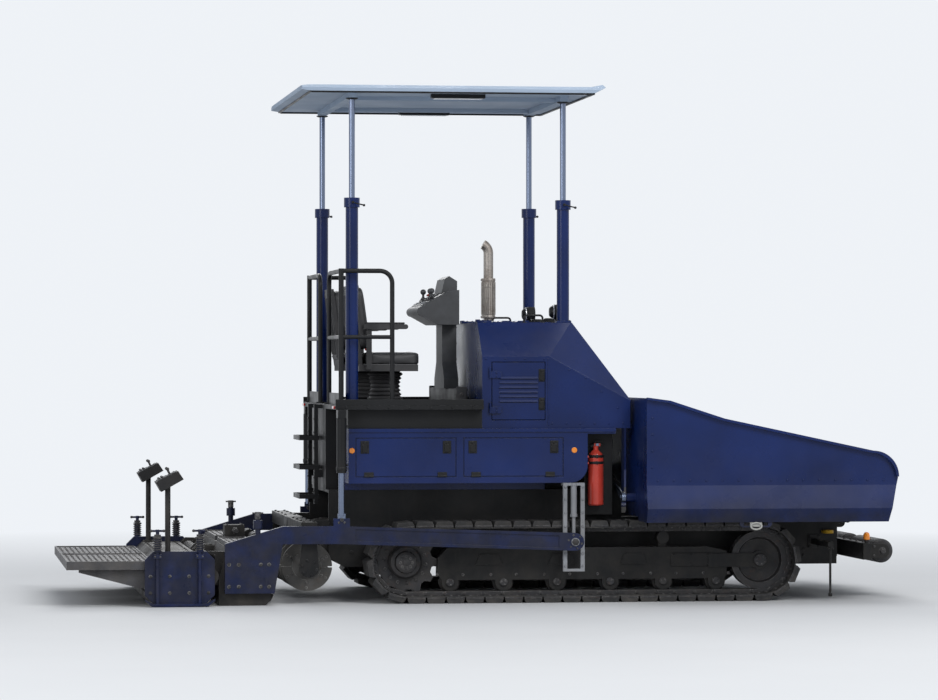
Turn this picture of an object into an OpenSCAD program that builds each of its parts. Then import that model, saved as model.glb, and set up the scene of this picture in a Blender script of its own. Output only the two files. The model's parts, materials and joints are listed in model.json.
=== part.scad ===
// Tracked asphalt paver: a tractor with hopper, conveyors and augers that tows an extending screed.
// X points forward, Y to the left and Z up. The origin is on the ground, under the centre of the
// machine's outline. All lengths are millimetres and all angles degrees.

/* [Lengths along the machine] */
// From the hopper's front edge to the front of the push rollers
push_reach = 150; // [140:5:220]
// Length of the hopper
hopper_len = 1900; // [1850:10:2050]
// Length of the tractor behind the hopper
tractor_len = 2200; // [2150:10:2400]
// Length of the bay in which the augers turn
auger_bay = 450; // [440:5:520]
// Length of the main screed
main_screed_len = 400; // [360:5:460]
// Length of the bay behind the main screed, in which the extensions' guide tubes run
guide_bay = 130; // [126:1:150]
// Length of each screed extension
ext_len = 350; // [320:5:420]
// Length of the walkway behind the screed
walkway_len = 620; // [560:10:700]

/* [Tracks] */
// Distance between the centres of sprocket and idler
wheel_base = 2650; // [2550:10:2700]
// Radius of the chain's pitch line round the wheels
pitch_r = 255; // [245:1:260]
// Distance of a track's centre from the machine's centre
track_y = 1000; // [990:5:1010]
// Width of a track shoe
shoe_w = 320; // [280:5:330]
// Number of shoes in a track
shoe_count = 48; // [44:1:52]
// Thickness of a shoe's steel plate
shoe_plate_t = 15; // [12:1:18]
// Thickness of a shoe's rubber pad
shoe_pad_t = 30; // [24:1:34]
// Depth of the chain inside the shoes
chain_h = 40; // [34:1:44]
// Radius of a track roller
roller_r = 62; // [56:1:66]

/* [Chassis] */
// Distance of the side walls' outer faces from the centre
frame_half_w = 720; // [710:2:730]
// Thickness of the side walls
frame_t = 20; // [14:1:26]
// Height of the chassis' underside
frame_low = 250; // [230:5:270]
// Height of the conveyor's deck plate
conveyor_z = 520; // [505:1:530]
// Height of the chassis walls beside the hopper
frame_top = 612; // [605:1:614]
// Height of the tunnel's roof plate
tunnel_top = 820; // [790:5:850]

/* [Hopper] */
// Height of the wing's hinge above the ground
wing_hinge_z = 642; // [640:1:650]
// Distance of the outermost edge of a wing from the centre
wing_half_w = 1630; // [1590:5:1660]
// Height of a wing's rear top corner
wing_rear_z = 1510; // [1450:5:1560]
// Height of a wing's top edge where it turns down at the front
wing_front_z = 1120; // [1060:5:1180]
// Thickness of the wing's plates
wing_t = 16; // [12:1:22]

/* [Hood and body] */
// Distance of the hood's side panels from the centre
hood_half_w = 1120; // [1110:2:1126]
// Height of the hood's top
hood_top = 2060; // [2020:5:2100]
// Height of the side boxes' top, where the hood stands
sill_z = 1280; // [1270:1:1290]
// Height of the side boxes' underside
box_low = 880; // [870:2:900]
// Thickness of the hood's panels
panel_t = 25; // [18:1:32]
// Size of the bevel along the hood's top edges
bevel = 250; // [220:2:270]

/* [Platform and roof] */
// Height of the operator's floor
floor_z = 1450; // [1430:2:1480]
// Height of the platform's handrails above its floor
rail_h = 1000; // [900:10:1050]
// Height of the underside of the roof's panel
roof_z = 3740; // [3700:5:3760]
// Thickness of the roof's edge
roof_t = 50; // [40:1:60]
// Distance of the roof's sides from the centre
roof_half_w = 1250; // [1200:5:1300]
// Height of the top of the post tubes
tube_top = 2970; // [2940:5:2990]
// Radius of the post tubes
tube_r = 46; // [40:1:50]
// Radius of the rods that slide in the post tubes
rod_r = 22; // [18:1:26]

/* [Augers] */
// Radius of the auger flights
auger_r = 180; // [160:2:190]
// Radius of the auger shafts
auger_shaft_r = 45; // [38:1:52]
// Length of one turn of the flight
auger_pitch = 300; // [260:10:350]

/* [Screed] */
// Height of the tow points
tow_z = 450; // [440:2:460]
// Height of the tow arms' beam
arm_h = 130; // [110:2:150]
// Thickness of the tow arms
arm_t = 50; // [40:1:56]
// Distance of the main screed's ends from the centre
screed_half_w = 1200; // [1190:2:1208]
// Height of the screed's frame
screed_h = 420; // [380:5:460]
// Thickness of the sole plates
sole_t = 14; // [10:1:20]

/* [Push rollers] */
// Radius of the push rollers
push_r = 90; // [80:1:94]
// Length of one push roller
push_len = 700; // [640:10:740]

/* [Hidden] */
$fn = 32;

// Places along the machine, from the front to the back
total_len = push_reach + hopper_len + tractor_len + auger_bay + main_screed_len + guide_bay
  + ext_len + walkway_len;
front_x = total_len / 2;
hopper_front_x = front_x - push_reach;
wall_x = hopper_front_x - hopper_len;
tractor_rear_x = wall_x - tractor_len;
screed_front_x = tractor_rear_x - auger_bay;
main_rear_x = screed_front_x - main_screed_len;
ext_front_x = main_rear_x - guide_bay;
ext_rear_x = ext_front_x - ext_len;
rear_x = ext_rear_x - walkway_len;

// Gaps between pieces
seat_gap = 0.3;
move_gap = 6;

// Track: the wheels' places and the chain's loop
idler_x = wall_x + 980;
sprocket_x = idler_x - wheel_base;
shoe_out = shoe_plate_t + shoe_pad_t;
axle_z = pitch_r + shoe_out;
track_top = 2 * axle_z;
shoe_web = 8;
shoe_end_gap = 5;
pad_bevel = 12;
chain_rail_y = 45;
chain_rail_w = 30;
arc_len = PI * pitch_r;
loop_len = 2 * wheel_base + 2 * arc_len;
shoe_pitch = loop_len / shoe_count;
rail_low_z = axle_z - pitch_r + chain_h;
rail_high_z = axle_z + pitch_r - chain_h;
beam_w = 120;
beam_low = rail_low_z + 80;
beam_top = axle_z + 100;
roller_count = 6;
sprocket_teeth = 11;

// Point on the chain's pitch line at a length s from the rear of the lower run
function loop_at(s) =
  s < wheel_base ? [sprocket_x + s, axle_z - pitch_r] :
  s < wheel_base + arc_len ? arc_at(idler_x, -90 + (s - wheel_base) / pitch_r * 180 / PI) :
  s < 2 * wheel_base + arc_len ? [idler_x - (s - wheel_base - arc_len), axle_z + pitch_r] :
  arc_at(sprocket_x, 90 + (s - 2 * wheel_base - arc_len) / pitch_r * 180 / PI);
function arc_at(x, a) = [x + pitch_r * cos(a), axle_z + pitch_r * sin(a)];

// Corners of one shoe, which lies on the chord between two pins of the chain
function shoe_corners(p, q) =
  let (len = norm(q - p), along = (q - p) / len, out = [along[1], -along[0]])
  [for (c = [[shoe_end_gap, 0], [shoe_end_gap, shoe_plate_t],
      [shoe_end_gap + pad_bevel, shoe_out], [len - shoe_end_gap - pad_bevel, shoe_out],
      [len - shoe_end_gap, shoe_plate_t], [len - shoe_end_gap, 0]])
    p + c[0] * along + c[1] * out];

// Box between two corners
module block(x, y, z) {
  translate([x[0], y[0], z[0]]) cube([x[1] - x[0], y[1] - y[0], z[1] - z[0]]);
}

// Outline in X and Z, as thick as the range y
module side_slab(y) {
  translate([0, y[1], 0]) rotate([90, 0, 0]) linear_extrude(y[1] - y[0]) children();
}

// Outline in Y and Z, as long as the range x
module cross_slab(x) {
  translate([x[0], 0, 0]) rotate([90, 0, 90]) linear_extrude(x[1] - x[0]) children();
}

// Round bar along one axis
module bar_x(x, y, z, r) { translate([x[0], y, z]) rotate([0, 90, 0]) cylinder(h = x[1] - x[0], r = r); }
module bar_y(x, y, z, r) { translate([x, y[1], z]) rotate([90, 0, 0]) cylinder(h = y[1] - y[0], r = r); }
module bar_z(x, y, z, r) { translate([x, y, z[0]]) cylinder(h = z[1] - z[0], r = r); }

// Quarter bend of a tube in the XZ plane round the centre (x, z), from the angle a on
module bend_xz(x, y, z, a, bend_r, r) {
  translate([x, y, z]) rotate([90, 0, 0]) rotate([0, 0, a]) rotate_extrude(angle = 90)
    translate([bend_r, 0]) circle(r = r);
}

// The same bend in the YZ plane round the centre (y, z)
module bend_yz(x, y, z, a, bend_r, r) {
  translate([x, y, z]) rotate([90, 0, 90]) rotate([0, 0, a]) rotate_extrude(angle = 90)
    translate([bend_r, 0]) circle(r = r);
}

// Solid turned about the Z axis: profile as [radius, z]
module turned_z(profile) { rotate_extrude() polygon(profile); }

// Solid turned about an axis along Y: profile as [radius, y]
module turned_y(x, z, profile) {
  translate([x, 0, z]) rotate([-90, 0, 0]) rotate_extrude() polygon(profile);
}

// The same piece on the left and on the right
module both_sides() {
  children();
  mirror([0, 1, 0]) children();
}

// One piece on the left (1) or on the right (-1)
module on_side(side) { mirror([0, side < 0 ? 1 : 0, 0]) children(); }

// Closed loop round both wheels, at a distance out from the pitch line
module wheel_loop(out) {
  for (x = [sprocket_x, idler_x]) translate([x, axle_z]) circle(r = pitch_r + out);
  translate([sprocket_x, axle_z - pitch_r - out]) square([wheel_base, 2 * (pitch_r + out)]);
}

module shoe_outline() {
  polygon([for (i = [0 : shoe_count - 1])
    each shoe_corners(loop_at(i * shoe_pitch), loop_at(((i + 1) % shoe_count) * shoe_pitch))]);
}

module track(side) {
  color("#26272a") on_side(side) translate([0, track_y, 0]) {
    side_slab([-shoe_w / 2, shoe_w / 2]) difference() {
      shoe_outline();
      wheel_loop(-shoe_web);
    }
    for (y = [-chain_rail_y, chain_rail_y])
      side_slab([y - chain_rail_w / 2, y + chain_rail_w / 2]) difference() {
        wheel_loop(-shoe_web / 2);
        wheel_loop(-chain_h);
      }
  }
}

module track_frames() {
  fork_t = 18;
  half_w = chain_rail_y + chain_rail_w / 2;
  flange = 14;
  flange_half = chain_rail_y - chain_rail_w / 2 - 2;
  first_x = sprocket_x + 330;
  last_x = idler_x - 330;
  step = (last_x - first_x) / (roller_count - 1);
  color("#1b1c1e") both_sides() translate([0, track_y, 0]) {
    side_slab([-beam_w / 2, beam_w / 2]) polygon([[first_x - 90, beam_low + 40], [first_x - 60, beam_low],
      [last_x + 60, beam_low], [last_x + 80, beam_low + 20], [last_x + 80, beam_top - 30],
      [last_x - 60, beam_top], [first_x - 20, beam_top], [first_x - 90, beam_top - 70]]);
    for (i = [0 : roller_count - 1])
      turned_y(first_x + i * step, rail_low_z + seat_gap + roller_r,
        [[0, -half_w], [roller_r, -half_w], [roller_r, -flange_half], [roller_r + flange, 4 - flange_half],
         [roller_r + flange, flange_half - 4], [roller_r, flange_half], [roller_r, half_w], [0, half_w]]);
    for (x = [first_x + step, last_x - step]) {
      bar_y(x, [-half_w, half_w], rail_high_z - seat_gap - 45, 45);
      block([x - 30, x + 30], [-25, 25], [beam_top - 10, rail_high_z - 50]);
    }
    for (y = [-beam_w / 2 - fork_t, beam_w / 2])
      side_slab([y, y + fork_t]) {
        translate([last_x - 60, axle_z - 50]) square([idler_x - last_x + 60, 100]);
        translate([idler_x, axle_z]) circle(r = 70);
      }
  }
}

module idler_wheels() {
  rim_r = pitch_r - chain_h - 0.5;
  rim_half = beam_w / 2 - 5;
  hub_half = beam_w / 2;
  color("#232426") both_sides() translate([0, track_y, 0])
    turned_y(idler_x, axle_z, [[0, -hub_half], [60, -hub_half], [70, -34], [rim_r - 60, -20],
      [rim_r - 46, -rim_half], [rim_r, -rim_half], [rim_r, rim_half], [rim_r - 46, rim_half],
      [rim_r - 60, 20], [70, 34], [60, hub_half], [0, hub_half]]);
}

// Sprocket with its hub and the drive that carries it on the chassis wall
module drive_sprockets() {
  root_r = pitch_r - chain_h - 12;
  tip_r = pitch_r - shoe_web - 8;
  step = 360 / sprocket_teeth;
  color("#2b2c2f") both_sides() translate([0, track_y, 0]) {
    side_slab([-18, 18]) translate([sprocket_x, axle_z]) polygon([for (i = [0 : sprocket_teeth - 1])
      for (p = [[-0.34, root_r], [-0.14, tip_r], [0.14, tip_r], [0.34, root_r]])
        [p[1] * cos((i + p[0]) * step), p[1] * sin((i + p[0]) * step)]]);
    turned_y(sprocket_x, axle_z, [[0, frame_half_w - track_y], [125, frame_half_w - track_y], [125, 58],
      [108, 76], [84, 82], [76, 108], [58, 116], [0, 116]]);
  }
}

// Bearing places of the conveyor's shafts
shaft_front_x = hopper_front_x - 430;
shaft_rear_x = tractor_rear_x + 60;
shaft_z = conveyor_z - 80;
belt_r = 120;
belt_t = 22;
slat_h = 26;
slat_w = 44;
lane_in = 60;
lane_out = frame_half_w - frame_t - 8;
slat_pitch = 290;

module chassis_frame() {
  inner = frame_half_w - frame_t;
  color("#1d1e20") {
    both_sides() {
      side_slab([inner, frame_half_w]) polygon([
        [tractor_rear_x, frame_low + 60], [tractor_rear_x + 120, frame_low],
        [hopper_front_x - 300, frame_low], [hopper_front_x - 250, frame_low + 60],
        [hopper_front_x - 250, frame_top], [wall_x, frame_top], [wall_x, tunnel_top],
        [tractor_rear_x, tunnel_top]]);
      for (x = [sprocket_x + 800, idler_x - 700])
        block([x - 100, x + 100], [frame_half_w - 1, track_y - beam_w / 2], [beam_low + 40, beam_top - 20]);
    }
    block([shaft_rear_x + belt_r, shaft_front_x - 150], [-inner - 1, inner + 1],
      [conveyor_z - 14, conveyor_z]);
    block([tractor_rear_x + 150, hopper_front_x - 320], [-inner - 1, inner + 1],
      [frame_low, frame_low + 12]);
    block([tractor_rear_x, wall_x], [-inner - 1, inner + 1], [tunnel_top - 20, tunnel_top]);
    block([hopper_front_x - 330, hopper_front_x - 250], [-inner - 1, inner + 1],
      [frame_low, frame_low + 70]);
    // Pump bays between the side boxes and the hopper, which back the fire extinguisher
    both_sides() block([box_front_x, sill_front_x], [frame_half_w + seat_gap, bay_half_w],
      [track_top + 40, sill_z - sill_t]);
    // Divider between the two conveyors, with a roof-shaped top in the hopper
    cross_slab([shaft_rear_x + belt_r, shaft_front_x - 150])
      polygon([[-20, conveyor_z - 1], [20, conveyor_z - 1], [20, conveyor_z + 90], [45, conveyor_z + 95],
        [0, conveyor_z + 140], [-45, conveyor_z + 95], [-20, conveyor_z + 90]]);
    // Lugs for the hinges of the wings and of the flap
    both_sides() {
      for (x = wing_lug_xs) difference() {
        cross_slab([x, x + wing_lug_w]) union() {
          translate([frame_half_w - frame_t, frame_top - 40]) square([40, 60]);
          translate([wing_hinge_y, wing_hinge_z]) circle(r = wing_lug_r);
        }
        bar_x([x - 1, x + wing_lug_w + 1], wing_hinge_y, wing_hinge_z, wing_hinge_r + 0.4);
      }
      difference() {
        side_slab([inner, frame_half_w]) union() {
          translate([hopper_front_x - 255, flap_hinge_z - 36])
            square([flap_hinge_x - hopper_front_x + 255, 72]);
          translate([flap_hinge_x, flap_hinge_z]) circle(r = 36);
        }
        bar_y(flap_hinge_x, [inner - 1, frame_half_w + 1], flap_hinge_z, flap_hinge_r + 0.4);
      }
    }
    // Fork that carries the push beam's pin
    for (z = push_fork_z)
      difference() {
        block([hopper_front_x - 260, push_pin_x + 55], [-90, 90], [z, z + push_fork_t]);
        bar_z(push_pin_x, 0, [z - 1, z + push_fork_t + 1], push_pin_r + 0.5);
      }
    block([hopper_front_x - 290, hopper_front_x - 250], [-inner - 1, inner + 1],
      [push_fork_z[0], push_fork_z[1] + push_fork_t]);
  }
}

// Two chain conveyors with scraper bars, round their shafts
module conveyor() {
  color("#3a3b3e") both_sides() {
    for (y = [lane_in + 40, lane_out - 60])
      side_slab([y - 14, y + 14]) difference() {
        belt_loop(belt_r);
        belt_loop(belt_r - belt_t);
      }
    for (x = [shaft_rear_x + 130 : slat_pitch : shaft_front_x - 60])
      for (z = [shaft_z + belt_r - belt_t - 1, shaft_z - belt_r + belt_t + 1 - slat_h])
        block([x, x + slat_w], [lane_in, lane_out], [z, z + slat_h]);
    for (x = [shaft_rear_x, shaft_front_x]) {
      bar_y(x, [0, frame_half_w - frame_t], shaft_z, 35);
      for (y = [lane_in + 40, lane_out - 60]) bar_y(x, [y - 14, y + 14], shaft_z, belt_r - belt_t + 1);
    }
  }
}

module belt_loop(r) {
  for (x = [shaft_rear_x, shaft_front_x]) translate([x, shaft_z]) circle(r = r);
  translate([shaft_rear_x, shaft_z - r]) square([shaft_front_x - shaft_rear_x, 2 * r]);
}

// Fixed wall between the hopper and the tractor, over the mouth of the conveyor tunnel
wall_t = 20;
front_low_z = 1490;
cyl_pin_r = 20;
module hopper_rear_wall() {
  color("#16294f") {
    block([wall_x, wall_x + wall_t], [-frame_half_w, frame_half_w], [tunnel_top - 20, front_low_z]);
    both_sides() bar_x([cyl_x - 40, wall_x + 1], cyl_base[0], cyl_base[1], cyl_pin_r);
  }
}

// Hopper wings: a bowl section between the inner slope and the outer skin, hinged at the chassis
wing_hinge_y = frame_half_w + 12;
wing_hinge_r = 18;
wing_lug_w = 30;
wing_lug_r = 34;
wing_lug_xs = [wall_x + 140, (wall_x + hopper_front_x) / 2, hopper_front_x - 420];
wing_rear_x = wall_x + wall_t + move_gap + 4;
wing_low = 600;
wing_skin_y = wing_half_w - 38;
wing_flare_z = 700;
wing_crease_z = 870;
wing_corner_r = 190;
loop_xs = [hopper_front_x - 1150, hopper_front_x - 970];
module wing_side_outline() {
  intersection() {
    polygon([[wing_rear_x, wing_low], [hopper_front_x - 70, wing_low], [hopper_front_x - 50, wing_flare_z],
      [hopper_front_x, wing_front_z - 200], [hopper_front_x, wing_front_z + 300],
      [wing_rear_x, wing_rear_z + 300]]);
    union() {
      polygon([[wing_rear_x, wing_low - 10], [hopper_front_x + 10, wing_low - 10],
        [hopper_front_x + 10, wing_front_z - wing_corner_r], [hopper_front_x - wing_corner_r, wing_front_z],
        [hopper_front_x - 1300, wing_front_z + 237], [hopper_front_x - 1700, wing_rear_z - 23],
        [wing_rear_x, wing_rear_z]]);
      translate([hopper_front_x - wing_corner_r, wing_front_z - wing_corner_r]) circle(r = wing_corner_r);
    }
  }
}

module wing_section() {
  polygon([[wing_hinge_y, wing_hinge_z - 10], [1230, wing_hinge_z - 10], [1270, wing_low],
    [wing_skin_y, wing_low], [wing_half_w, wing_flare_z], [wing_skin_y, wing_crease_z],
    [wing_skin_y, wing_rear_z + 10], [wing_skin_y - wing_t, wing_rear_z + 10],
    [wing_skin_y - wing_t, wing_crease_z + 30], [wing_skin_y - 190, wing_hinge_z + 120],
    [wing_hinge_y, wing_hinge_z + 12]]);
}

module hopper_wing(side) {
  color("#122a5c") on_side(side) {
    difference() {
      intersection() {
        cross_slab([wing_rear_x, hopper_front_x]) wing_section();
        side_slab([0, wing_half_w + 10]) wing_side_outline();
      }
      for (x = wing_lug_xs)
        bar_x([x - move_gap, x + wing_lug_w + move_gap], wing_hinge_y, wing_hinge_z, wing_lug_r + move_gap);
    }
    // Rear plate of the wing
    cross_slab([wing_rear_x, wing_rear_x + wing_t]) polygon([[wing_hinge_y + 12, wing_hinge_z + 5],
      [wing_skin_y - 185, wing_hinge_z + 115], [wing_skin_y - 5, wing_crease_z + 40],
      [wing_skin_y - 5, wing_rear_z - 5], [wing_hinge_y + 28, wing_rear_z - 5],
      [wing_hinge_y + 12, wing_rear_z - 30]]);
    // Lip across the front of the bowl
    cross_slab([hopper_front_x - 90, hopper_front_x - 70]) polygon([[wing_hinge_y + 110, wing_hinge_z],
      [wing_skin_y - 185, wing_hinge_z + 115], [wing_skin_y - 5, wing_crease_z + 40],
      [wing_skin_y - 5, wing_front_z - 60], [wing_skin_y - 240, wing_hinge_z + 220],
      [wing_hinge_y + 140, wing_hinge_z + 90]]);
    bar_x([wing_rear_x, hopper_front_x - 120], wing_hinge_y, wing_hinge_z, wing_hinge_r);
    // Rim folded outwards along the top edge and down the front
    side_slab([wing_skin_y - wing_t, wing_half_w - 4]) difference() {
      intersection() {
        wing_side_outline();
        translate([wing_rear_x, wing_crease_z + 60]) square([hopper_len, wing_rear_z]);
      }
      translate([-wing_t, -wing_t]) wing_side_outline();
    }
    // Grab loop under the outer edge
    side_slab([wing_skin_y - 30, wing_skin_y - 8]) difference() {
      union() {
        for (x = loop_xs) translate([x, wing_low - 8]) circle(r = 30);
        translate([loop_xs[0], wing_low - 38]) square([loop_xs[1] - loop_xs[0], 39]);
      }
      translate([loop_xs[0], wing_low - 26]) square([loop_xs[1] - loop_xs[0], 25]);
    }
    // Boss at the rear, which ends beside the eye of the wing cylinder's rod
    bar_x([cyl_x + cyl_eye_w / 2 + 5, wing_rear_x + 1], cyl_lug[0], cyl_lug[1], 30);
  }
}

// Wing cylinders, which pull the wings up from behind the hopper wall: ends as [y, z]
cyl_x = wall_x - 60;
cyl_base = [260, 960];
cyl_lug = [1130, 770];
cyl_vec = cyl_lug - cyl_base;
cyl_len = norm(cyl_vec);
cyl_tilt = atan2(cyl_vec[1], cyl_vec[0]);
cyl_r = 36;
cyl_rod_r = 20;
cyl_eye_w = 30;
cyl_barrel_len = cyl_len * 0.58;

module along_cylinder(side) {
  on_side(side) translate([cyl_x, cyl_base[0], cyl_base[1]]) rotate([cyl_tilt, 0, 0]) children();
}

module wing_barrel(side) {
  color("#1b1c1e") along_cylinder(side) difference() {
    union() {
      bar_x([-24, 24], 0, 0, cyl_pin_r + 20);
      bar_y(0, [20, cyl_barrel_len], 0, cyl_r);
    }
    bar_x([-25, 25], 0, 0, cyl_pin_r + 0.4);
    bar_y(0, [60, cyl_barrel_len + 1], 0, cyl_rod_r + rod_gap);
  }
}

module wing_rod(side) {
  color("#c3c6ca") along_cylinder(side) {
    bar_y(0, [cyl_barrel_len - 170, cyl_len - 20], 0, cyl_rod_r);
    bar_x([-cyl_eye_w / 2, cyl_eye_w / 2], cyl_len, 0, 34);
  }
}

// Flap across the front of the hopper
flap_hinge_x = hopper_front_x - 225;
flap_hinge_z = 560;
flap_half_w = 680;
flap_len = 235;
flap_t = 14;
flap_hinge_r = 16;
flap_tilt = 25;
module hopper_flap() {
  rib_h = 34;
  rib_t = 12;
  rib_step = (flap_half_w - rib_t / 2) / 3;
  color("#141517") {
    translate([flap_hinge_x, 0, flap_hinge_z]) rotate([0, -flap_tilt, 0]) {
      translate([0, -flap_half_w, -flap_t / 2]) cube([flap_len, 2 * flap_half_w, flap_t]);
      // Ribs under the plate, and its folded front edge
      for (i = [-3 : 3]) side_slab([i * rib_step - rib_t / 2, i * rib_step + rib_t / 2])
        polygon([[20, 1 - flap_t / 2], [flap_len - 8, 1 - flap_t / 2], [flap_len - 8, -rib_h], [60, -rib_h]]);
      side_slab([-flap_half_w, flap_half_w]) polygon([[flap_len - 10, -rib_h], [flap_len, -rib_h],
        [flap_len, flap_t / 2], [flap_len - 10, flap_t / 2]]);
    }
    bar_y(flap_hinge_x, [-frame_half_w, frame_half_w], flap_hinge_z, flap_hinge_r);
  }
}

// Push beam, which swings on one upright pin, and its two rollers
push_pin_x = hopper_front_x - 160;
push_pin_r = 30;
push_fork_t = 30;
push_fork_z = [250, 420];
push_axle_x = front_x - push_r;
push_axle_z = 350;
push_beam_x = [hopper_front_x - 100, hopper_front_x - 40];
push_gap = 110;
push_ear_t = 30;
push_in = push_gap + push_ear_t + 5;
push_out = push_in + push_len;
push_stub_r = 28;
module push_beam() {
  lug_z = [push_fork_z[0] + push_fork_t + 5, push_fork_z[1] - 5];
  color("#1a1b1d") {
    block(push_beam_x, [-push_out - 90, push_out + 90], [lug_z[0] + 3, lug_z[1] - 3]);
    block([push_pin_x, push_beam_x[0] + 1], [-60, 60], lug_z);
    bar_z(push_pin_x, 0, lug_z, 60);
    bar_z(push_pin_x, 0, [push_fork_z[0], push_fork_z[1] + push_fork_t], push_pin_r);
    both_sides() for (y = [push_gap, push_out + 5]) difference() {
      side_slab([y, y + push_ear_t]) union() {
        translate([push_beam_x[1] - 1, push_axle_z - 55])
          square([push_axle_x - push_beam_x[1] + 1, 110]);
        translate([push_axle_x, push_axle_z]) circle(r = 55);
      }
      bar_y(push_axle_x, [y - 1, y + push_ear_t + 1], push_axle_z, push_stub_r + 0.4);
    }
  }
}

module push_roller(side) {
  chamfer = 12;
  color("#2e2f32") on_side(side) {
    turned_y(push_axle_x, push_axle_z, [[0, push_in], [push_r - chamfer, push_in],
      [push_r, push_in + chamfer], [push_r, push_out - chamfer], [push_r - chamfer, push_out],
      [0, push_out]]);
    bar_y(push_axle_x, [push_gap, push_out + 5 + push_ear_t], push_axle_z, push_stub_r);
  }
}

// Plain block in the place and size of the engine and its gearbox
module engine_block() {
  color("#3c3e40") block([wall_x - 1000, wall_x - 260], [-420, 420], [tunnel_top, hood_top - 260]);
}

// Boxes over the tracks: fuel tank on the left, tools and hydraulics on the right
box_front_x = wall_x - 330;
box_rear_x = tractor_rear_x + 100;
box_half_w = hood_half_w + 34;
box_corner_r = 130;
bay_half_w = hood_half_w - 124;
sill_front_x = wall_x - 120;
sill_t = 40;
seam_w = 8;
module side_boxes() {
  door_len = (box_front_x - box_corner_r - box_rear_x - 150) / 2;
  color("#10244f") both_sides() {
    difference() {
      side_slab([frame_half_w, box_half_w]) {
        translate([box_rear_x, box_low])
          square([box_front_x - box_corner_r - box_rear_x, sill_z - box_low]);
        translate([box_rear_x, box_low + box_corner_r])
          square([box_front_x - box_rear_x, sill_z - box_low - box_corner_r]);
        translate([box_front_x - box_corner_r, box_low + box_corner_r]) circle(r = box_corner_r);
      }
      // Seams round the two locker doors
      for (i = [0, 1]) translate([box_rear_x + 50 + i * (door_len + 50), 0, 0])
        side_slab([box_half_w - seam_w, box_half_w + 1]) difference() {
          translate([0, box_low + 45]) square([door_len, sill_z - box_low - 110]);
          translate([seam_w, box_low + 45 + seam_w])
            square([door_len - 2 * seam_w, sill_z - box_low - 110 - 2 * seam_w]);
        }
    }
    block([box_front_x - 1, sill_front_x], [frame_half_w, box_half_w], [sill_z - sill_t, sill_z]);
    // Lip along the ledge
    block([box_rear_x, sill_front_x], [box_half_w - 1, box_half_w + 10], [sill_z - 26, sill_z]);
    // Foot between the box and the chassis wall's top
    block([box_rear_x, box_front_x - 250], [frame_half_w - 60, frame_half_w + 1], [tunnel_top, sill_z]);
  }
}

// Hood: side panels with bevelled top edges and a front that slopes down to the hopper
hood_rear_x = wall_x - 1110;
hood_front_x = wall_x - 5;
slope_top_x = wall_x - 400;
bevel_start_x = wall_x - 600;
crease_low = hood_top - bevel;
corner_a = [hood_front_x, hood_half_w, front_low_z];
corner_b = [bevel_start_x, hood_half_w, crease_low];
corner_c = [slope_top_x, hood_half_w - bevel, hood_top];
bevel_normal = cross(corner_c - corner_b, corner_a - corner_b);
crease_ease = 3;
bevel_unit = bevel_normal / norm(bevel_normal) * (bevel_normal[2] > 0 ? 1 : -1);

module hood_form(inset) {
  difference() {
    intersection() {
      side_slab([-hood_half_w + inset, hood_half_w - inset])
        polygon([[hood_rear_x + inset, sill_z - inset * 0.04], [hood_front_x - inset, sill_z - inset * 0.04],
          [hood_front_x - inset, front_low_z - inset * 0.35], [slope_top_x - inset * 0.55, hood_top - inset],
          [hood_rear_x + inset, hood_top - inset]]);
      cross_slab([hood_rear_x - 10, hood_front_x + 10])
        polygon([for (s = [1, -1]) each s > 0 ?
          [[hood_half_w - inset, sill_z - 20], [hood_half_w - inset, crease_low - inset * 0.41],
            [hood_half_w - bevel - inset * 0.41, hood_top - inset]] :
          [[bevel + inset * 0.41 - hood_half_w, hood_top - inset],
            [inset - hood_half_w, crease_low - inset * 0.41], [inset - hood_half_w, sill_z - 20]]]);
    }
    both_sides() translate(corner_a - (inset + crease_ease) * bevel_unit)
      rotate([0, acos(bevel_unit[2]), atan2(bevel_unit[1], bevel_unit[0])])
        translate([-2000, -2000, 0]) cube([4000, 4000, 1500]);
  }
}

// Openings in the hood for its lid and doors
lid_x = [hood_rear_x + 80, slope_top_x - 135];
lid_half_w = hood_half_w - bevel - 120;
door_x = [hood_rear_x + 70, bevel_start_x - 40];
door_z = [sill_z + 60, crease_low - 40];
door_gap = 5;

module hood() {
  color("#15305f") hood_hinges();
  color("#15305f") difference() {
    hood_form(0);
    hood_form(panel_t);
    block([lid_x[0], lid_x[1]], [-lid_half_w, lid_half_w], [hood_top - panel_t - 20, hood_top + 20]);
    for (y = [-hood_half_w - 20, hood_half_w - panel_t - 20])
      block(door_x, [y, y + panel_t + 40], door_z);
    translate(grille_place) rotate([0, grille_tilt, 0])
      block([-grille_half_l, grille_half_l], [-grille_half_w, grille_half_w], [-100, 60]);
  }
}

// Radiator grille in the sloping front
grille_tilt = atan2(hood_top - front_low_z, hood_front_x - slope_top_x);
grille_half_l = 250;
grille_half_w = 380;
grille_place = [(hood_front_x + slope_top_x) / 2, 0, (hood_top + front_low_z) / 2];
module radiator_grille() {
  half_w = grille_half_w - seat_gap;
  half_l = grille_half_l - seat_gap;
  color("#0d0e10") translate(grille_place) rotate([0, grille_tilt, 0]) {
    for (x = [-half_l : 38 : half_l - 12]) block([x, x + 12], [-half_w, half_w], [-20, -4]);
    for (y = [-half_w, -6, half_w - 12]) block([-half_l, half_l], [y, y + 12], [-22, -6]);
  }
}

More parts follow.
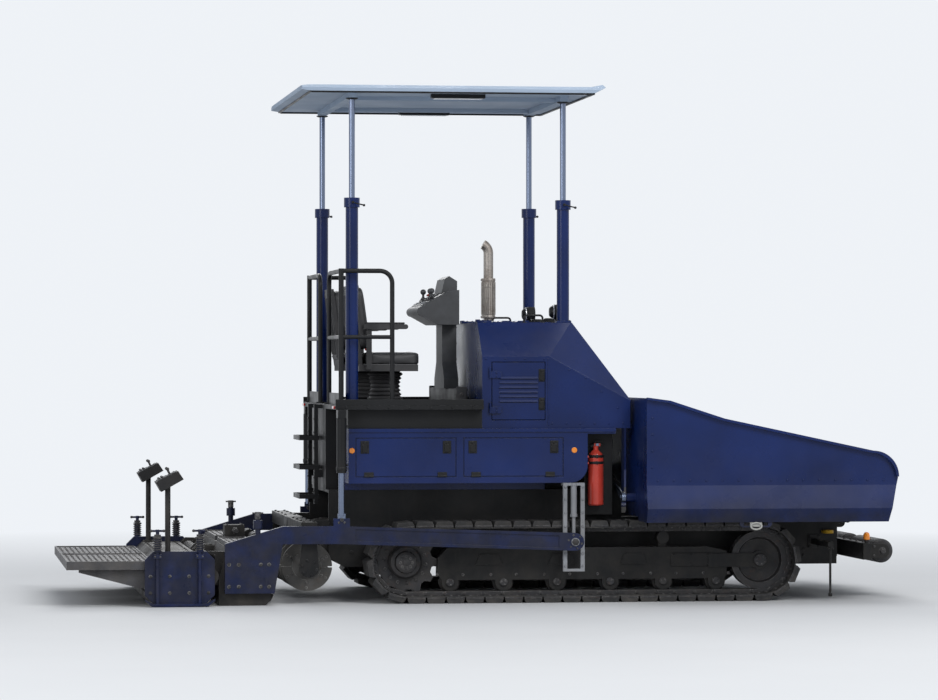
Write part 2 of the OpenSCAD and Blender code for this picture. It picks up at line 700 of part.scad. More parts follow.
// Hinges: pin, straps on the lid and doors, and lugs on the hood
pin_r = 8;
lid_pin_x = lid_x[0] - 12;
lid_pin_z = hood_top + 14;
lid_strap_y = [-420, 420];
door_pin_x = door_x[0] - 12;
door_pin_y = hood_half_w + 14;
door_strap_z = [door_z[0] + 50, door_z[1] - 120];
strap_w = 50;
module hood_hinges() {
  for (y = lid_strap_y) for (s = [-1, 1]) difference() {
    block([lid_pin_x - 14, lid_pin_x + 11], [y + s * 34 - 7, y + s * 34 + 7], [hood_top - 1, lid_pin_z + 14]);
    bar_y(lid_pin_x, [y + s * 34 - 8, y + s * 34 + 8], lid_pin_z, pin_r + 0.4);
  }
  both_sides() for (z = door_strap_z) {
    bar_z(door_pin_x, door_pin_y, [z + strap_w + seat_gap, z + strap_w + 30], pin_r);
    block([door_pin_x - pin_r, door_pin_x + pin_r], [hood_half_w - 1, door_pin_y],
      [z + strap_w + seat_gap, z + strap_w + 30]);
  }
}

module hood_lid() {
  color("#1a3568") {
    block([lid_x[0] + door_gap, lid_x[1] - door_gap], [-lid_half_w + door_gap, lid_half_w - door_gap],
      [hood_top - panel_t + 5, hood_top + 7]);
    for (y = lid_strap_y) {
      bar_y(lid_pin_x, [y - 41, y + 41], lid_pin_z, pin_r);
      block([lid_pin_x, lid_x[0] + 90], [y - strap_w / 2, y + strap_w / 2],
        [lid_pin_z - pin_r, lid_pin_z + pin_r]);
    }
    block([lid_x[1] - 90, lid_x[1] - 60], [-60, 60], [hood_top + 6, hood_top + 26]);
  }
}

// Side doors, hinged at their rear edge
module side_door(side) {
  color("#10244f") on_side(side) {
    difference() {
      block([door_x[0] + door_gap, door_x[1] - door_gap], [hood_half_w - panel_t + 3, hood_half_w + 3],
        [door_z[0] + door_gap, door_z[1] - door_gap]);
      for (i = [0 : 5]) block([door_x[0] + 60, door_x[1] - 60], [hood_half_w - 8, hood_half_w + 10],
        [door_z[0] + 130 + i * 34, door_z[0] + 144 + i * 34]);
    }
    for (z = door_strap_z) {
      bar_z(door_pin_x, door_pin_y, [z, z + strap_w], pin_r);
      block([door_pin_x, door_x[0] + 70], [door_pin_y - pin_r, door_pin_y + 4], [z, z + strap_w]);
      block([door_x[0] + 10, door_x[0] + 70], [hood_half_w + 2, door_pin_y], [z, z + strap_w]);
    }
  }
}

module exhaust_stack() {
  x = (lid_x[0] + lid_x[1]) / 2;
  y = hood_half_w - bevel - 56;
  pipe_r = 38;
  bend_r = 80;
  pipe_h = 560;
  color("#5a5b5e") {
    bar_z(x, y, [hood_top, hood_top + pipe_h], pipe_r);
    bar_z(x, y, [hood_top, hood_top + 16], pipe_r + 16);
    bar_z(x, y, [hood_top + 60, hood_top + 360], pipe_r + 14);
    translate([x - bend_r, y, hood_top + pipe_h]) rotate([90, 0, 0]) rotate_extrude(angle = 62)
      translate([bend_r, 0]) circle(r = pipe_r);
  }
}

// Operator's platform behind the hood
deck_t = 30;
deck_half_w = hood_half_w + 90;
module platform_deck() {
  color("#202225") {
    block([tractor_rear_x, hood_rear_x], [-deck_half_w, deck_half_w], [floor_z - deck_t, floor_z]);
    block([tractor_rear_x + 100, hood_rear_x], [-hood_half_w, hood_half_w], [sill_z, floor_z - deck_t]);
    block([tractor_rear_x, tractor_rear_x + 100], [-500, 500], [tunnel_top, floor_z - deck_t]);
    // Slide rail of the operator's console
    block([console_x[1] - 80, console_x[1] - 10], [-760, 760], [floor_z - 1, floor_z + console_rail_h]);
  }
}

// Handrails on both sides and across the back, as bent tubes on the deck
rail_r = 19;
module platform_rails() {
  side_y = deck_half_w - 45;
  gate_y = 330;
  rear_post_x = tractor_rear_x + 45;
  front_post_x = tractor_rear_x + 420;
  bend_r = 90;
  tube = rail_r - 2;
  top = floor_z + rail_h - tube;
  mid = floor_z + rail_h / 2;
  color("#1b1c1e") both_sides() {
    bar_z(rear_post_x, side_y, [floor_z, floor_z + rail_h], rail_r);
    bar_x([rear_post_x, front_post_x - bend_r], side_y, top, tube);
    bend_xz(front_post_x - bend_r, side_y, top - bend_r, 0, bend_r, tube);
    bar_z(front_post_x, side_y, [floor_z, top - bend_r], tube);
    bar_x([rear_post_x, front_post_x], side_y, mid, tube - 2);
    bar_y(rear_post_x, [gate_y + bend_r, side_y], top, tube);
    bend_yz(rear_post_x, gate_y + bend_r, top - bend_r, 90, bend_r, tube);
    bar_z(rear_post_x, gate_y, [floor_z, top - bend_r], tube);
    bar_y(rear_post_x, [gate_y, side_y], mid, tube - 2);
    // Foot plates and kick board
    for (p = [[rear_post_x, side_y], [front_post_x, side_y], [rear_post_x, gate_y]])
      bar_z(p[0], p[1], [floor_z, floor_z + 10], rail_r + 20);
    block([rear_post_x - 4, rear_post_x + 4], [gate_y, side_y], [floor_z, floor_z + 90]);
  }
}

// Two seats on pedestals
seat_x = tractor_rear_x + 430;
seat_y = 640;
function back_x(z) = -190 - (z - 300) * 80 / 580;
module seat_frames() {
  color("#2a2b2e") both_sides() translate([seat_x, seat_y, floor_z]) {
    block([-170, 170], [-150, 150], [0, 30]);
    turned_z([[0, 20], [110, 20], [80, 60], [70, 200], [120, 255], [0, 255]]);
    block([-220, 220], [-220, 220], [250, 300]);
    side_slab([-200, 200]) polygon([[-225, 290], [back_x(290), 290], [back_x(880), 880],
      [back_x(880) - 30, 880]]);
    // Armrests on brackets at the seat's sides
    for (s = [-1, 1]) mirror([0, s < 0 ? 1 : 0, 0]) {
      block([-170, -130], [219, 270], [262, 292]);
      block([-170, -130], [250, 270], [262, 561]);
      side_slab([236, 286]) {
        polygon([[-190, 560], [120, 560], [120, 596], [-190, 600]]);
        translate([120, 578]) circle(r = 18);
      }
    }
  }
}

module seat_cushions() {
  color("#1f2022") both_sides() translate([seat_x, seat_y, floor_z]) {
    block([-180, 240], [-230, 230], [300.3, 400]);
    side_slab([-220, 220]) polygon([[back_x(402) + 0.5, 402], [-115, 402], [-180, 870],
      [back_x(870) + 0.5, 870]]);
  }
}

// Console that slides from side to side in front of the seats
console_x = [hood_rear_x - 380, hood_rear_x - 60];
console_rail_h = 120;
module operator_console() {
  z = floor_z;
  rear = console_x[0];
  front = console_x[1];
  lever_x = rear + 120;
  color("#26282b") {
    // Panel with a sloping face and a rounded hand rest
    side_slab([-330, 330]) {
      polygon([[rear + 30, z + 666], [rear + 20, z + 732], [front - 80, z + 850], [front, z + 862],
        [front, z + 600], [rear + 150, z + 600]]);
      translate([rear + 35, z + 700]) circle(r = 35);
    }
    // Shade over the instruments
    side_slab([-210, 210]) polygon([[front - 120, z + 840], [front - 96, z + 945], [front - 60, z + 968],
      [front, z + 930], [front, z + 861]]);
    // Pedestal, wide where it rides on the rail
    cross_slab([front - 110, front]) polygon([[-280, z + console_rail_h + seat_gap],
      [280, z + console_rail_h + seat_gap], [280, z + 190], [170, z + 320], [170, z + 601],
      [-170, z + 601], [-170, z + 320], [-280, z + 190]]);
    // Levers with their knobs, and a turning knob
    for (y = [-250, -170, 250]) {
      bar_z(lever_x, y, [z + 740, z + 845], 9);
      translate([lever_x, y, z + 855]) sphere(r = 22);
    }
    bar_z(lever_x, 60, [z + 740, z + 800], 34);
  }
}

// Tubes of the roof's four posts
post_front_x = slope_top_x - 60;
post_rear_x = tractor_rear_x + 135;
post_y = hood_half_w - bevel - 50;
rear_post_y = deck_half_w - 150;
rod_gap = 0.5;
rod_drop = 690;
// Each post: place along X, place along Y, height of its foot
posts = [[post_front_x, post_y, hood_top], [post_rear_x, rear_post_y, floor_z]];
module roof_posts() {
  color("#12284f") both_sides() for (p = posts) difference() {
    union() {
      bar_z(p[0], p[1], [p[2], tube_top], tube_r);
      bar_z(p[0], p[1], [tube_top - 70, tube_top], tube_r + 12);
      block([p[0] - 55, p[0] + 55], [p[1] - 49, p[1] + 49], [p[2], p[2] + 14]);
    }
    bar_z(p[0], p[1], [p[2] + 14, tube_top + 1], rod_r + rod_gap);
  }
}

module roof_rods() {
  color("#8f97a3") both_sides() for (p = posts)
    bar_z(p[0], p[1], [hood_top + rod_drop + 20, roof_z - roof_beam_h], rod_r);
}

roof_front_x = wall_x - 200;
roof_rear_x = tractor_rear_x - 250;
roof_lip = 70;
roof_beam_h = 38;
roof_edge = 24;
module roof_canopy() {
  flat_w = roof_half_w - 140;
  color("#aebccb") {
    // Panel with an upturned front edge and sides that slope down
    intersection() {
      side_slab([-roof_half_w, roof_half_w]) polygon([[roof_rear_x, roof_z + 10],
        [roof_rear_x + 60, roof_z], [roof_front_x - 90, roof_z], [roof_front_x, roof_z + 45],
        [roof_front_x - 12, roof_z + roof_lip], [roof_front_x - 110, roof_z + roof_t],
        [roof_rear_x + 60, roof_z + roof_t], [roof_rear_x, roof_z + roof_t - 8]]);
      cross_slab([roof_rear_x - 1, roof_front_x + 1]) polygon([[-roof_half_w, roof_z - 1],
        [roof_half_w, roof_z - 1], [roof_half_w, roof_z + roof_edge], [flat_w, roof_z + roof_lip + 5],
        [-flat_w, roof_z + roof_lip + 5], [-roof_half_w, roof_z + roof_edge]]);
    }
    // Beams on the rods, and between them
    for (p = posts)
      block([p[0] - 30, p[0] + 30], [-p[1] - 70, p[1] + 70], [roof_z - roof_beam_h, roof_z + 1]);
    both_sides() block([post_rear_x, post_front_x], [post_y - 190, post_y - 140],
      [roof_z - roof_beam_h + 8, roof_z + 1]);
  }
}

// Guides of the tow points, with the levelling cylinders between their rails
tow_x = wall_x - 440;
arm_y = [hood_half_w + 92, hood_half_w + 92 + arm_t];
guide_y = [hood_half_w + 50, hood_half_w + 80];
tow_pin_r = 30;
module tow_point_guides() {
  mid_y = (guide_y[0] + guide_y[1]) / 2;
  color("#8b8f94") both_sides() {
    for (x = [tow_x - 80, tow_x + 50]) block([x, x + 30], guide_y, [tow_z - 220, box_low]);
    block([tow_x - 80, tow_x + 80], guide_y, [tow_z - 220, tow_z - 200]);
    block([tow_x - 80, tow_x + 80], [box_half_w - 60, guide_y[1]], [box_low - 20, box_low]);
    block([tow_x - 51, tow_x + 51], guide_y, [tow_z - 50, tow_z + 50]);
    // Levelling cylinder: rod and barrel
    bar_z(tow_x, mid_y, [tow_z + 45, box_low - 15], 13);
    bar_z(tow_x, mid_y, [tow_z + 200, box_low - 15], 22);
    bar_y(tow_x, [guide_y[1] - 1, arm_y[1] + 10], tow_z, tow_pin_r);
  }
}

module fire_extinguisher() {
  x = box_front_x + 75;
  y = -(hood_half_w - 60);
  low = track_top + 110;
  r = 58;
  color("#b5383a") {
    translate([x, y, 0]) turned_z([[0, low + 8], [r - 10, low + 8], [r - 8, low], [r, low + 8],
      [r, low + 350], [r - 8, low + 380], [r - 30, low + 402], [20, low + 412], [20, low + 440],
      [0, low + 440]]);
    block([x - 12, x + 34], [y - 10, y + 10], [low + 436, low + 458]);
    // Brackets on the side box's front
    for (z = [box_low + box_corner_r + 4, low + 352]) block([box_front_x, x], [y - 25, y + 25], [z, z + 16]);
  }
}

module work_lamps() {
  y = hood_half_w - bevel - 200;
  x = slope_top_x - 80;
  r = 52;
  color("#d8dadc") both_sides() {
    block([x - 14, x + 14], [y - 20, y + 20], [hood_top, hood_top + 34]);
    bar_x([x - 34, x + 34], y, hood_top + 82, r);
    bar_x([x - 52, x - 33], y, hood_top + 82, r - 16);
  }
}

// Ladder below the gate in the rear rail
module access_ladders() {
  x = [tractor_rear_x - 60, tractor_rear_x - 30];
  half_w = 240;
  step_t = 34;
  edge = 8;
  step_x = [x[0] - 110, x[1] + 10];
  step_zs = [740, 960, 1180];
  color("#1b1c1e") {
    both_sides() {
      block(x, [half_w - 30, half_w], [700, floor_z]);
      block([x[1] - 1, tractor_rear_x], [half_w - 30, half_w], [900, 960]);
      block([x[1] - 1, tractor_rear_x], [half_w - 30, half_w], [floor_z - deck_t, floor_z]);
    }
    // Steps: trays with turned-up edges
    for (z = step_zs) difference() {
      block(step_x, [-half_w, half_w], [z, z + step_t]);
      block([step_x[0] + edge, step_x[1] - edge], [edge - half_w, half_w - edge],
        [z + edge, z + step_t + 1]);
    }
  }
}

// Lugs on the chassis walls by which the machine is lashed to a lorry
lug_hole_r = 22;
lug_t = 25;
lug_z = 480;
lug_xs = [tractor_rear_x + 50, hopper_front_x - 330];
module tie_down_lugs() {
  reach = 42;
  color("#c9a227") both_sides() for (x = lug_xs) difference() {
    translate([x, frame_half_w, lug_z]) linear_extrude(lug_t) union() {
      translate([-42, 0]) square([84, reach]);
      translate([0, reach]) circle(r = 42);
    }
    bar_z(x, frame_half_w + reach, [lug_z - 1, lug_z + lug_t + 1], lug_hole_r);
  }
}

// Auger drive case, its crossbeam and the end bearings
auger_x = tractor_rear_x - 190;
auger_z = auger_r + 90;
auger_in = 120;
auger_out = screed_half_w - 30;
module auger_carrier() {
  beam_z = [auger_z + auger_r + 60, auger_z + auger_r + 150];
  color("#1d1e20") {
    // Chain case between the two halves
    side_slab([-auger_in + 10, auger_in - 10]) {
      translate([auger_x, auger_z]) circle(r = 88);
      polygon([[auger_x - 87, auger_z], [auger_x + 87, auger_z], [auger_x + 60, beam_z[1]],
        [auger_x - 60, beam_z[1]]]);
    }
    block([auger_x - 60, auger_x + 60], [-auger_out - 20, auger_out + 20], beam_z);
    // Hangers with the end bearings
    both_sides() side_slab([auger_out + 6, auger_out + 20]) {
      translate([auger_x, auger_z]) circle(r = 72);
      polygon([[auger_x - 71, auger_z], [auger_x + 71, auger_z], [auger_x + 50, beam_z[0] + 1],
        [auger_x - 50, beam_z[0] + 1]]);
    }
    both_sides() block([auger_x + 59, tractor_rear_x], [frame_half_w - frame_t, frame_half_w + 50], beam_z);
  }
}

// Half of the auger, whose flight is a helical sheet: turns = length / pitch
flight_steps = 20;
flight_t = 14;
flight_in_r = (auger_shaft_r + seat_gap) / cos(180 / flight_steps);
function flight_ring(i, r) =
  let (a = 360 * i / flight_steps, y = auger_pitch * i / flight_steps)
  [for (k = [-0.5, 0.5]) [r * cos(a), y + k * flight_t, r * sin(a)]];

module flight(len) {
  steps = floor((len - flight_t) / auger_pitch * flight_steps);
  points = [for (i = [0 : steps]) each concat(flight_ring(i, flight_in_r), flight_ring(i, auger_r))];
  sides = [for (i = [0 : steps - 1]) for (f = [[0, 1, 5], [0, 5, 4], [3, 2, 6], [3, 6, 7],
      [1, 3, 7], [1, 7, 5], [0, 4, 6], [0, 6, 2]])
    [for (k = f) 4 * i + k]];
  polyhedron(points, concat([[0, 2, 3, 1]], sides, [[for (k = [1, 3, 2, 0]) 4 * steps + k]]), convexity = 8);
}

module auger(side) {
  color("#44464a") on_side(side) {
    bar_y(auger_x, [auger_in - 10 + seat_gap, auger_out + 6 - seat_gap], auger_z, auger_shaft_r);
    translate([auger_x, auger_in + 20 + flight_t, auger_z]) flight(auger_out - auger_in - 60);
  }
}

// Screed lift cylinders on the tractor's rear corners, above the tow arms
lift_x = tractor_rear_x + 40;
lift_y = (arm_y[0] + arm_y[1]) / 2;
lift_r = 22;
lift_low = 960;
lift_top = floor_z - deck_t;
module lift_cylinders() {
  color("#1b1c1e") both_sides() {
    difference() {
      bar_z(lift_x, lift_y, [lift_low, lift_top - 60], 36);
      bar_z(lift_x, lift_y, [lift_low - 1, lift_top - 80], lift_r + rod_gap);
    }
    block([lift_x - 30, lift_x + 30], [box_half_w + 2, lift_y + 36], [lift_top - 61, lift_top]);
  }
}

arm_lug_z = tow_z + 170;
module lift_rods() {
  color("#c3c6ca") both_sides() {
    bar_z(lift_x, lift_y, [arm_lug_z + 30, lift_low + 120], lift_r);
    block([lift_x - 28, lift_x + 28], [lift_y - 12, lift_y + 12], [arm_lug_z - 30, arm_lug_z + 45]);
  }
}

// Tow arms, from the tow points back to the ends of the main screed
module tow_arms() {
  rise = 60;
  heel_x = main_rear_x + 40;
  color("#11264d") both_sides() {
    difference() {
      side_slab(arm_y) {
        translate([tow_x, tow_z]) circle(r = arm_h / 2);
        polygon([[tow_x, tow_z - arm_h / 2], [tow_x, tow_z + arm_h / 2],
          [tractor_rear_x, tow_z + rise + arm_h / 2], [screed_front_x + 60, tow_z + rise + arm_h / 2],
          [heel_x, tow_z + rise - 60], [heel_x, 90], [screed_front_x, 90],
          [screed_front_x + 60, tow_z + rise - arm_h / 2], [tractor_rear_x, tow_z + rise - arm_h / 2]]);
      }
      bar_y(tow_x, [arm_y[0] - 1, arm_y[1] + 1], tow_z, tow_pin_r + 0.5);
      // Panel pressed into the outer face
      side_slab([arm_y[1] - 8, arm_y[1] + 1]) polygon([[tow_x - 120, tow_z - arm_h / 2 + 22],
        [tow_x - 120, tow_z + arm_h / 2 - 18], [lift_x + 100, tow_z + rise + arm_h / 2 - 24],
        [lift_x + 100, tow_z + rise - arm_h / 2 + 22]]);
    }
    for (y = [lift_y - arm_t / 2, lift_y + arm_t / 2 - 8])
      block([lift_x - 60, lift_x + 60], [y, y + 8], [tow_z + rise + arm_h / 2 - 12, arm_lug_z + 10]);
    block([screed_front_x - 260, screed_front_x - 60], [screed_half_w, arm_y[0] + 1], [120, 320]);
    // Spindle that sets the screed's tilt
    bar_z(screed_front_x - 120, lift_y, [tow_z, tow_z + 230], 20);
    bar_z(screed_front_x - 120, lift_y, [tow_z + 110, tow_z + 170], 34);
  }
}

module main_screed() {
  color("#1c1d20") {
    side_slab([-screed_half_w, screed_half_w]) difference() {
      screed_outline();
      polygon([[screed_front_x - 62, sole_t], [main_rear_x + 30, sole_t], [main_rear_x + 30, 190],
        [main_rear_x + 80, screed_h - 30], [screed_front_x - 100, screed_h - 30],
        [screed_front_x - 30, screed_h - 110]]);
    }
    for (y = [-screed_half_w, screed_half_w - 20]) side_slab([y, y + 20]) screed_outline();
    // Bearing plates of the extensions' guide tubes
    for (y = bearing_ys) side_slab([y - bearing_t / 2, y + bearing_t / 2]) difference() {
      polygon([[main_rear_x + 8, guide_zs[1] - 66], [main_rear_x + 8, 200], [main_rear_x + 58, screed_h - 28],
        [guide_x - 20, guide_zs[0] + 66], [guide_x - 54, guide_zs[0] + 30], [guide_x - 54, guide_zs[1] - 40],
        [guide_x - 20, guide_zs[1] - 66]]);
      for (z = guide_zs) translate([guide_x, z]) circle(r = guide_r + rod_gap);
    }
    // Crown adjuster and the motors of the tamper shafts
    block([main_rear_x + 130, main_rear_x + 280], [-90, 90], [screed_h - 1, screed_h + 120]);
    both_sides() bar_y(screed_front_x - 60, [180, 420], screed_h + 30, 46);
  }
}

module screed_outline() {
  polygon([[screed_front_x - 20, 40], [screed_front_x - 60, 0], [main_rear_x, 0], [main_rear_x, 200],
    [main_rear_x + 60, screed_h], [screed_front_x - 90, screed_h], [screed_front_x, screed_h - 90]]);
}

// Guide tubes: the left extension's runs high and the right one's low, each across the whole screed
guide_r = 42;
guide_x = (main_rear_x + ext_front_x) / 2;
guide_zs = [screed_h - 90, screed_h - 205];
bearing_t = 36;
bearing_ys = [-screed_half_w + 50, -110, 110, screed_half_w - 50];

// Walkway on the main screed, on both sides of the crown adjuster
module main_walkway() {
  x = [main_rear_x + 70, screed_front_x - 120];
  color("#2d2f33") both_sides() {
    difference() {
      block(x, [110, screed_half_w - 30], [screed_h, screed_h + 34]);
      block([x[0] + 10, x[1] - 10], [120, screed_half_w - 40], [screed_h + 26, screed_h + 35]);
    }
  }
}

// Screed extensions behind the main screed, each as wide as half of it. Slid all the way out, a guide
// tube still stands through its inner bearing plate.
ext_travel = 1150;
tube_hold = 80;
ext_in = 8;
ext_out = screed_half_w + 60;
ext_h = screed_h - 60;
module extension_outline() {
  polygon([[ext_front_x, 40], [ext_front_x - 40, 0], [ext_rear_x, 0], [ext_rear_x, ext_h - 60],
    [ext_rear_x + 60, ext_h], [ext_front_x, ext_h]]);
}

module extension(side) {
  tube_z = guide_zs[side > 0 ? 0 : 1];
  post_x = ext_rear_x + 110;
  post_y = ext_out - 60;
  color("#222327") on_side(side) {
    side_slab([ext_in, ext_out]) difference() {
      extension_outline();
      polygon([[ext_front_x - 50, sole_t], [ext_rear_x + 25, sole_t], [ext_rear_x + 25, ext_h - 70],
        [ext_rear_x + 70, ext_h - 25], [ext_front_x - 30, ext_h - 25]]);
    }
    for (y = [ext_in, ext_out - 20]) side_slab([y, y + 20]) extension_outline();
    // Guide tube, carried by the outer end plate
    bar_y(guide_x, [bearing_ys[2] - tube_hold - ext_travel, ext_out - 10], tube_z, guide_r);
    side_slab([ext_out - 20, ext_out]) {
      translate([guide_x, tube_z]) circle(r = guide_r + 18);
      polygon([[guide_x, tube_z - guide_r - 18], [guide_x, tube_z + guide_r + 18],
        [ext_front_x - 1, tube_z + guide_r - 20], [ext_front_x - 1, tube_z - guide_r - 18]]);
    }
    // Post and box of the screed's controls
    bar_z(post_x, post_y, [ext_h - 10, ext_h + 560], 20);
    bar_z(post_x, post_y, [ext_h - 1, ext_h + 12], 46);
    side_slab([post_y - 140, post_y + 90]) polygon([[post_x - 90, ext_h + 540], [post_x + 70, ext_h + 620],
      [post_x + 110, ext_h + 560], [post_x - 50, ext_h + 470]]);
  }
}

// End gate: plate with a ski, held by two sprung spindles
module end_gate(side) {
  x = [ext_rear_x - 60, guide_x + 30];
  ski_y = [ext_out + 19, ext_out + 70];
  corner = 60;
  plate_z = [24, ext_h + 40];
  color("#11264d") on_side(side) {
    side_slab([ext_out, ext_out + 20]) polygon([[x[0], plate_z[0] + corner], [x[0] + corner, plate_z[0]],
      [x[1] - corner, plate_z[0]], [x[1], plate_z[0] + corner], [x[1], plate_z[1] - corner],
      [x[1] - corner, plate_z[1]], [x[0] + corner, plate_z[1]], [x[0], plate_z[1] - corner]]);
    side_slab(ski_y) polygon([[x[0], 44], [x[0] + 50, 4], [x[1] - 50, 4], [x[1], 44], [x[1], 58],
      [x[1] - 56, 24], [x[0] + 56, 24], [x[0], 58]]);
    for (sx = [x[0] + 90, x[1] - 110]) {
      bar_z(sx, ext_out + 45, [20, plate_z[1] + 160], 13);
      bar_z(sx, ext_out + 45, [plate_z[1], plate_z[1] + 100], 24);
      block([sx - 30, sx + 30], [ext_out + 19, ext_out + 72], [plate_z[1] - 50, plate_z[1] - 20]);
      bar_x([sx - 45, sx + 45], ext_out + 45, plate_z[1] + 150, 8);
    }
  }
}

// Walkway behind an extension: a tray on three brackets
module extension_walkway(side) {
  y = [ext_in + 10, screed_half_w + 40];
  tray_z = [ext_h - 92, ext_h - 30];
  edge = 12;
  plate_low = tray_z[1] - 18;
  color("#2f3136") on_side(side) {
    difference() {
      block([rear_x, ext_rear_x], y, tray_z);
      block([rear_x + edge, ext_rear_x - edge], [y[0] + edge, y[1] - edge], [tray_z[1] - 8, tray_z[1] + 1]);
      block([rear_x + edge, ext_rear_x - edge], [y[0] + edge, y[1] - edge], [tray_z[0] - 1, plate_low]);
    }
    for (y0 = [y[0] + 60, (y[0] + y[1]) / 2, y[1] - 80]) side_slab([y0, y0 + 16])
      polygon([[ext_rear_x, 130], [ext_rear_x, plate_low + 1], [rear_x + 90, plate_low + 1],
        [rear_x + 90, plate_low - 66], [ext_rear_x - 90, 130]]);
  }
}

// Steering pointer at the front right: an arm below the hopper with a hanging rod
module steering_guide() {
  x = hopper_front_x - 430;
  reach = frame_half_w + 560;
  color("#1b1c1e") on_side(-1) {
    block([x - 20, x + 20], [frame_half_w, reach], [400, 440]);
    block([x - 45, x + 45], [frame_half_w, frame_half_w + 14], [370, 470]);
    bar_z(x, reach - 20, [36, 401], 9);
    bar_z(x, reach - 20, [36, 60], 15);
  }
}

chassis_frame();
hopper_rear_wall();
conveyor();
track(1);  // track_left
track(-1);  // track_right
track_frames();
drive_sprockets();
idler_wheels();
engine_block();
side_boxes();
hood();
radiator_grille();
exhaust_stack();
platform_deck();
platform_rails();
seat_frames();
seat_cushions();
roof_posts();
tow_point_guides();
fire_extinguisher();
work_lamps();
access_ladders();
steering_guide();
tie_down_lugs();
auger_carrier();
lift_cylinders();
hopper_wing(1);  // hopper_wing_left
hopper_wing(-1);  // hopper_wing_right
wing_barrel(1);  // wing_barrel_left
wing_barrel(-1);  // wing_barrel_right
wing_rod(1);  // wing_rod_left
wing_rod(-1);  // wing_rod_right
hopper_flap();
push_beam();
push_roller(1);  // push_roller_left
push_roller(-1);  // push_roller_right
roof_canopy();
roof_rods();
hood_lid();
side_door(1);  // side_door_left
side_door(-1);  // side_door_right
operator_console();
auger(1);  // auger_left
auger(-1);  // auger_right
lift_rods();
tow_arms();
main_screed();
main_walkway();
extension(1);  // extension_left
extension(-1);  // extension_right
end_gate(1);  // end_gate_left
end_gate(-1);  // end_gate_right
extension_walkway(1);  // extension_walkway_left
extension_walkway(-1);  // extension_walkway_right
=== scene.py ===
"""Looks of the tracked asphalt paver: finishes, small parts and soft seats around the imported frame."""
import json
from math import atan2, copysign, cos, pi, radians, sin, sqrt

import bmesh
import bpy
import numpy as np
from mathutils import Matrix, Vector
from mathutils.bvhtree import BVHTree


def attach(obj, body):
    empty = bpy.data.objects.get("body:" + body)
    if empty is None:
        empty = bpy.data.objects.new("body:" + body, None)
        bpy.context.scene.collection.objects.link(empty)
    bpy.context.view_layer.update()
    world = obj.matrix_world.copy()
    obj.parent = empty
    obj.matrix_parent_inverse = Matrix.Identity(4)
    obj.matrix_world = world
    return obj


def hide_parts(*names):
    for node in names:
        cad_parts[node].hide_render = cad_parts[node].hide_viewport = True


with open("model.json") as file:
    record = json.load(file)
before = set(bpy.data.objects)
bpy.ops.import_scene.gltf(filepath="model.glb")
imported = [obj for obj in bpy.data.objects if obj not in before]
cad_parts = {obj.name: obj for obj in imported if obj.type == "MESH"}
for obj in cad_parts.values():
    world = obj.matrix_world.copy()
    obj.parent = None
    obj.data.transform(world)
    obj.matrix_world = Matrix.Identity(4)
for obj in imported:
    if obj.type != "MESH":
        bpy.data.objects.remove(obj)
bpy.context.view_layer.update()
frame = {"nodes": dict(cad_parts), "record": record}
SCENE = bpy.context.scene

# Materials

FINISH = {}
DUST = (0.2, 0.175, 0.145)
# Near-black for the lowest navy paint: painted shade under the wings and tar stain together.
LOW_SHADE_AND_TAR = (0.0075, 0.008, 0.0095)
RUST = (0.14, 0.055, 0.022)
RUBBED_STEEL = (0.34, 0.33, 0.32)
NAVY = (0.0036, 0.0148, 0.086)
BLACK = (0.0105, 0.011, 0.012)


def shade(colour, factor):
    return tuple(min(1.0, c * factor) for c in colour)


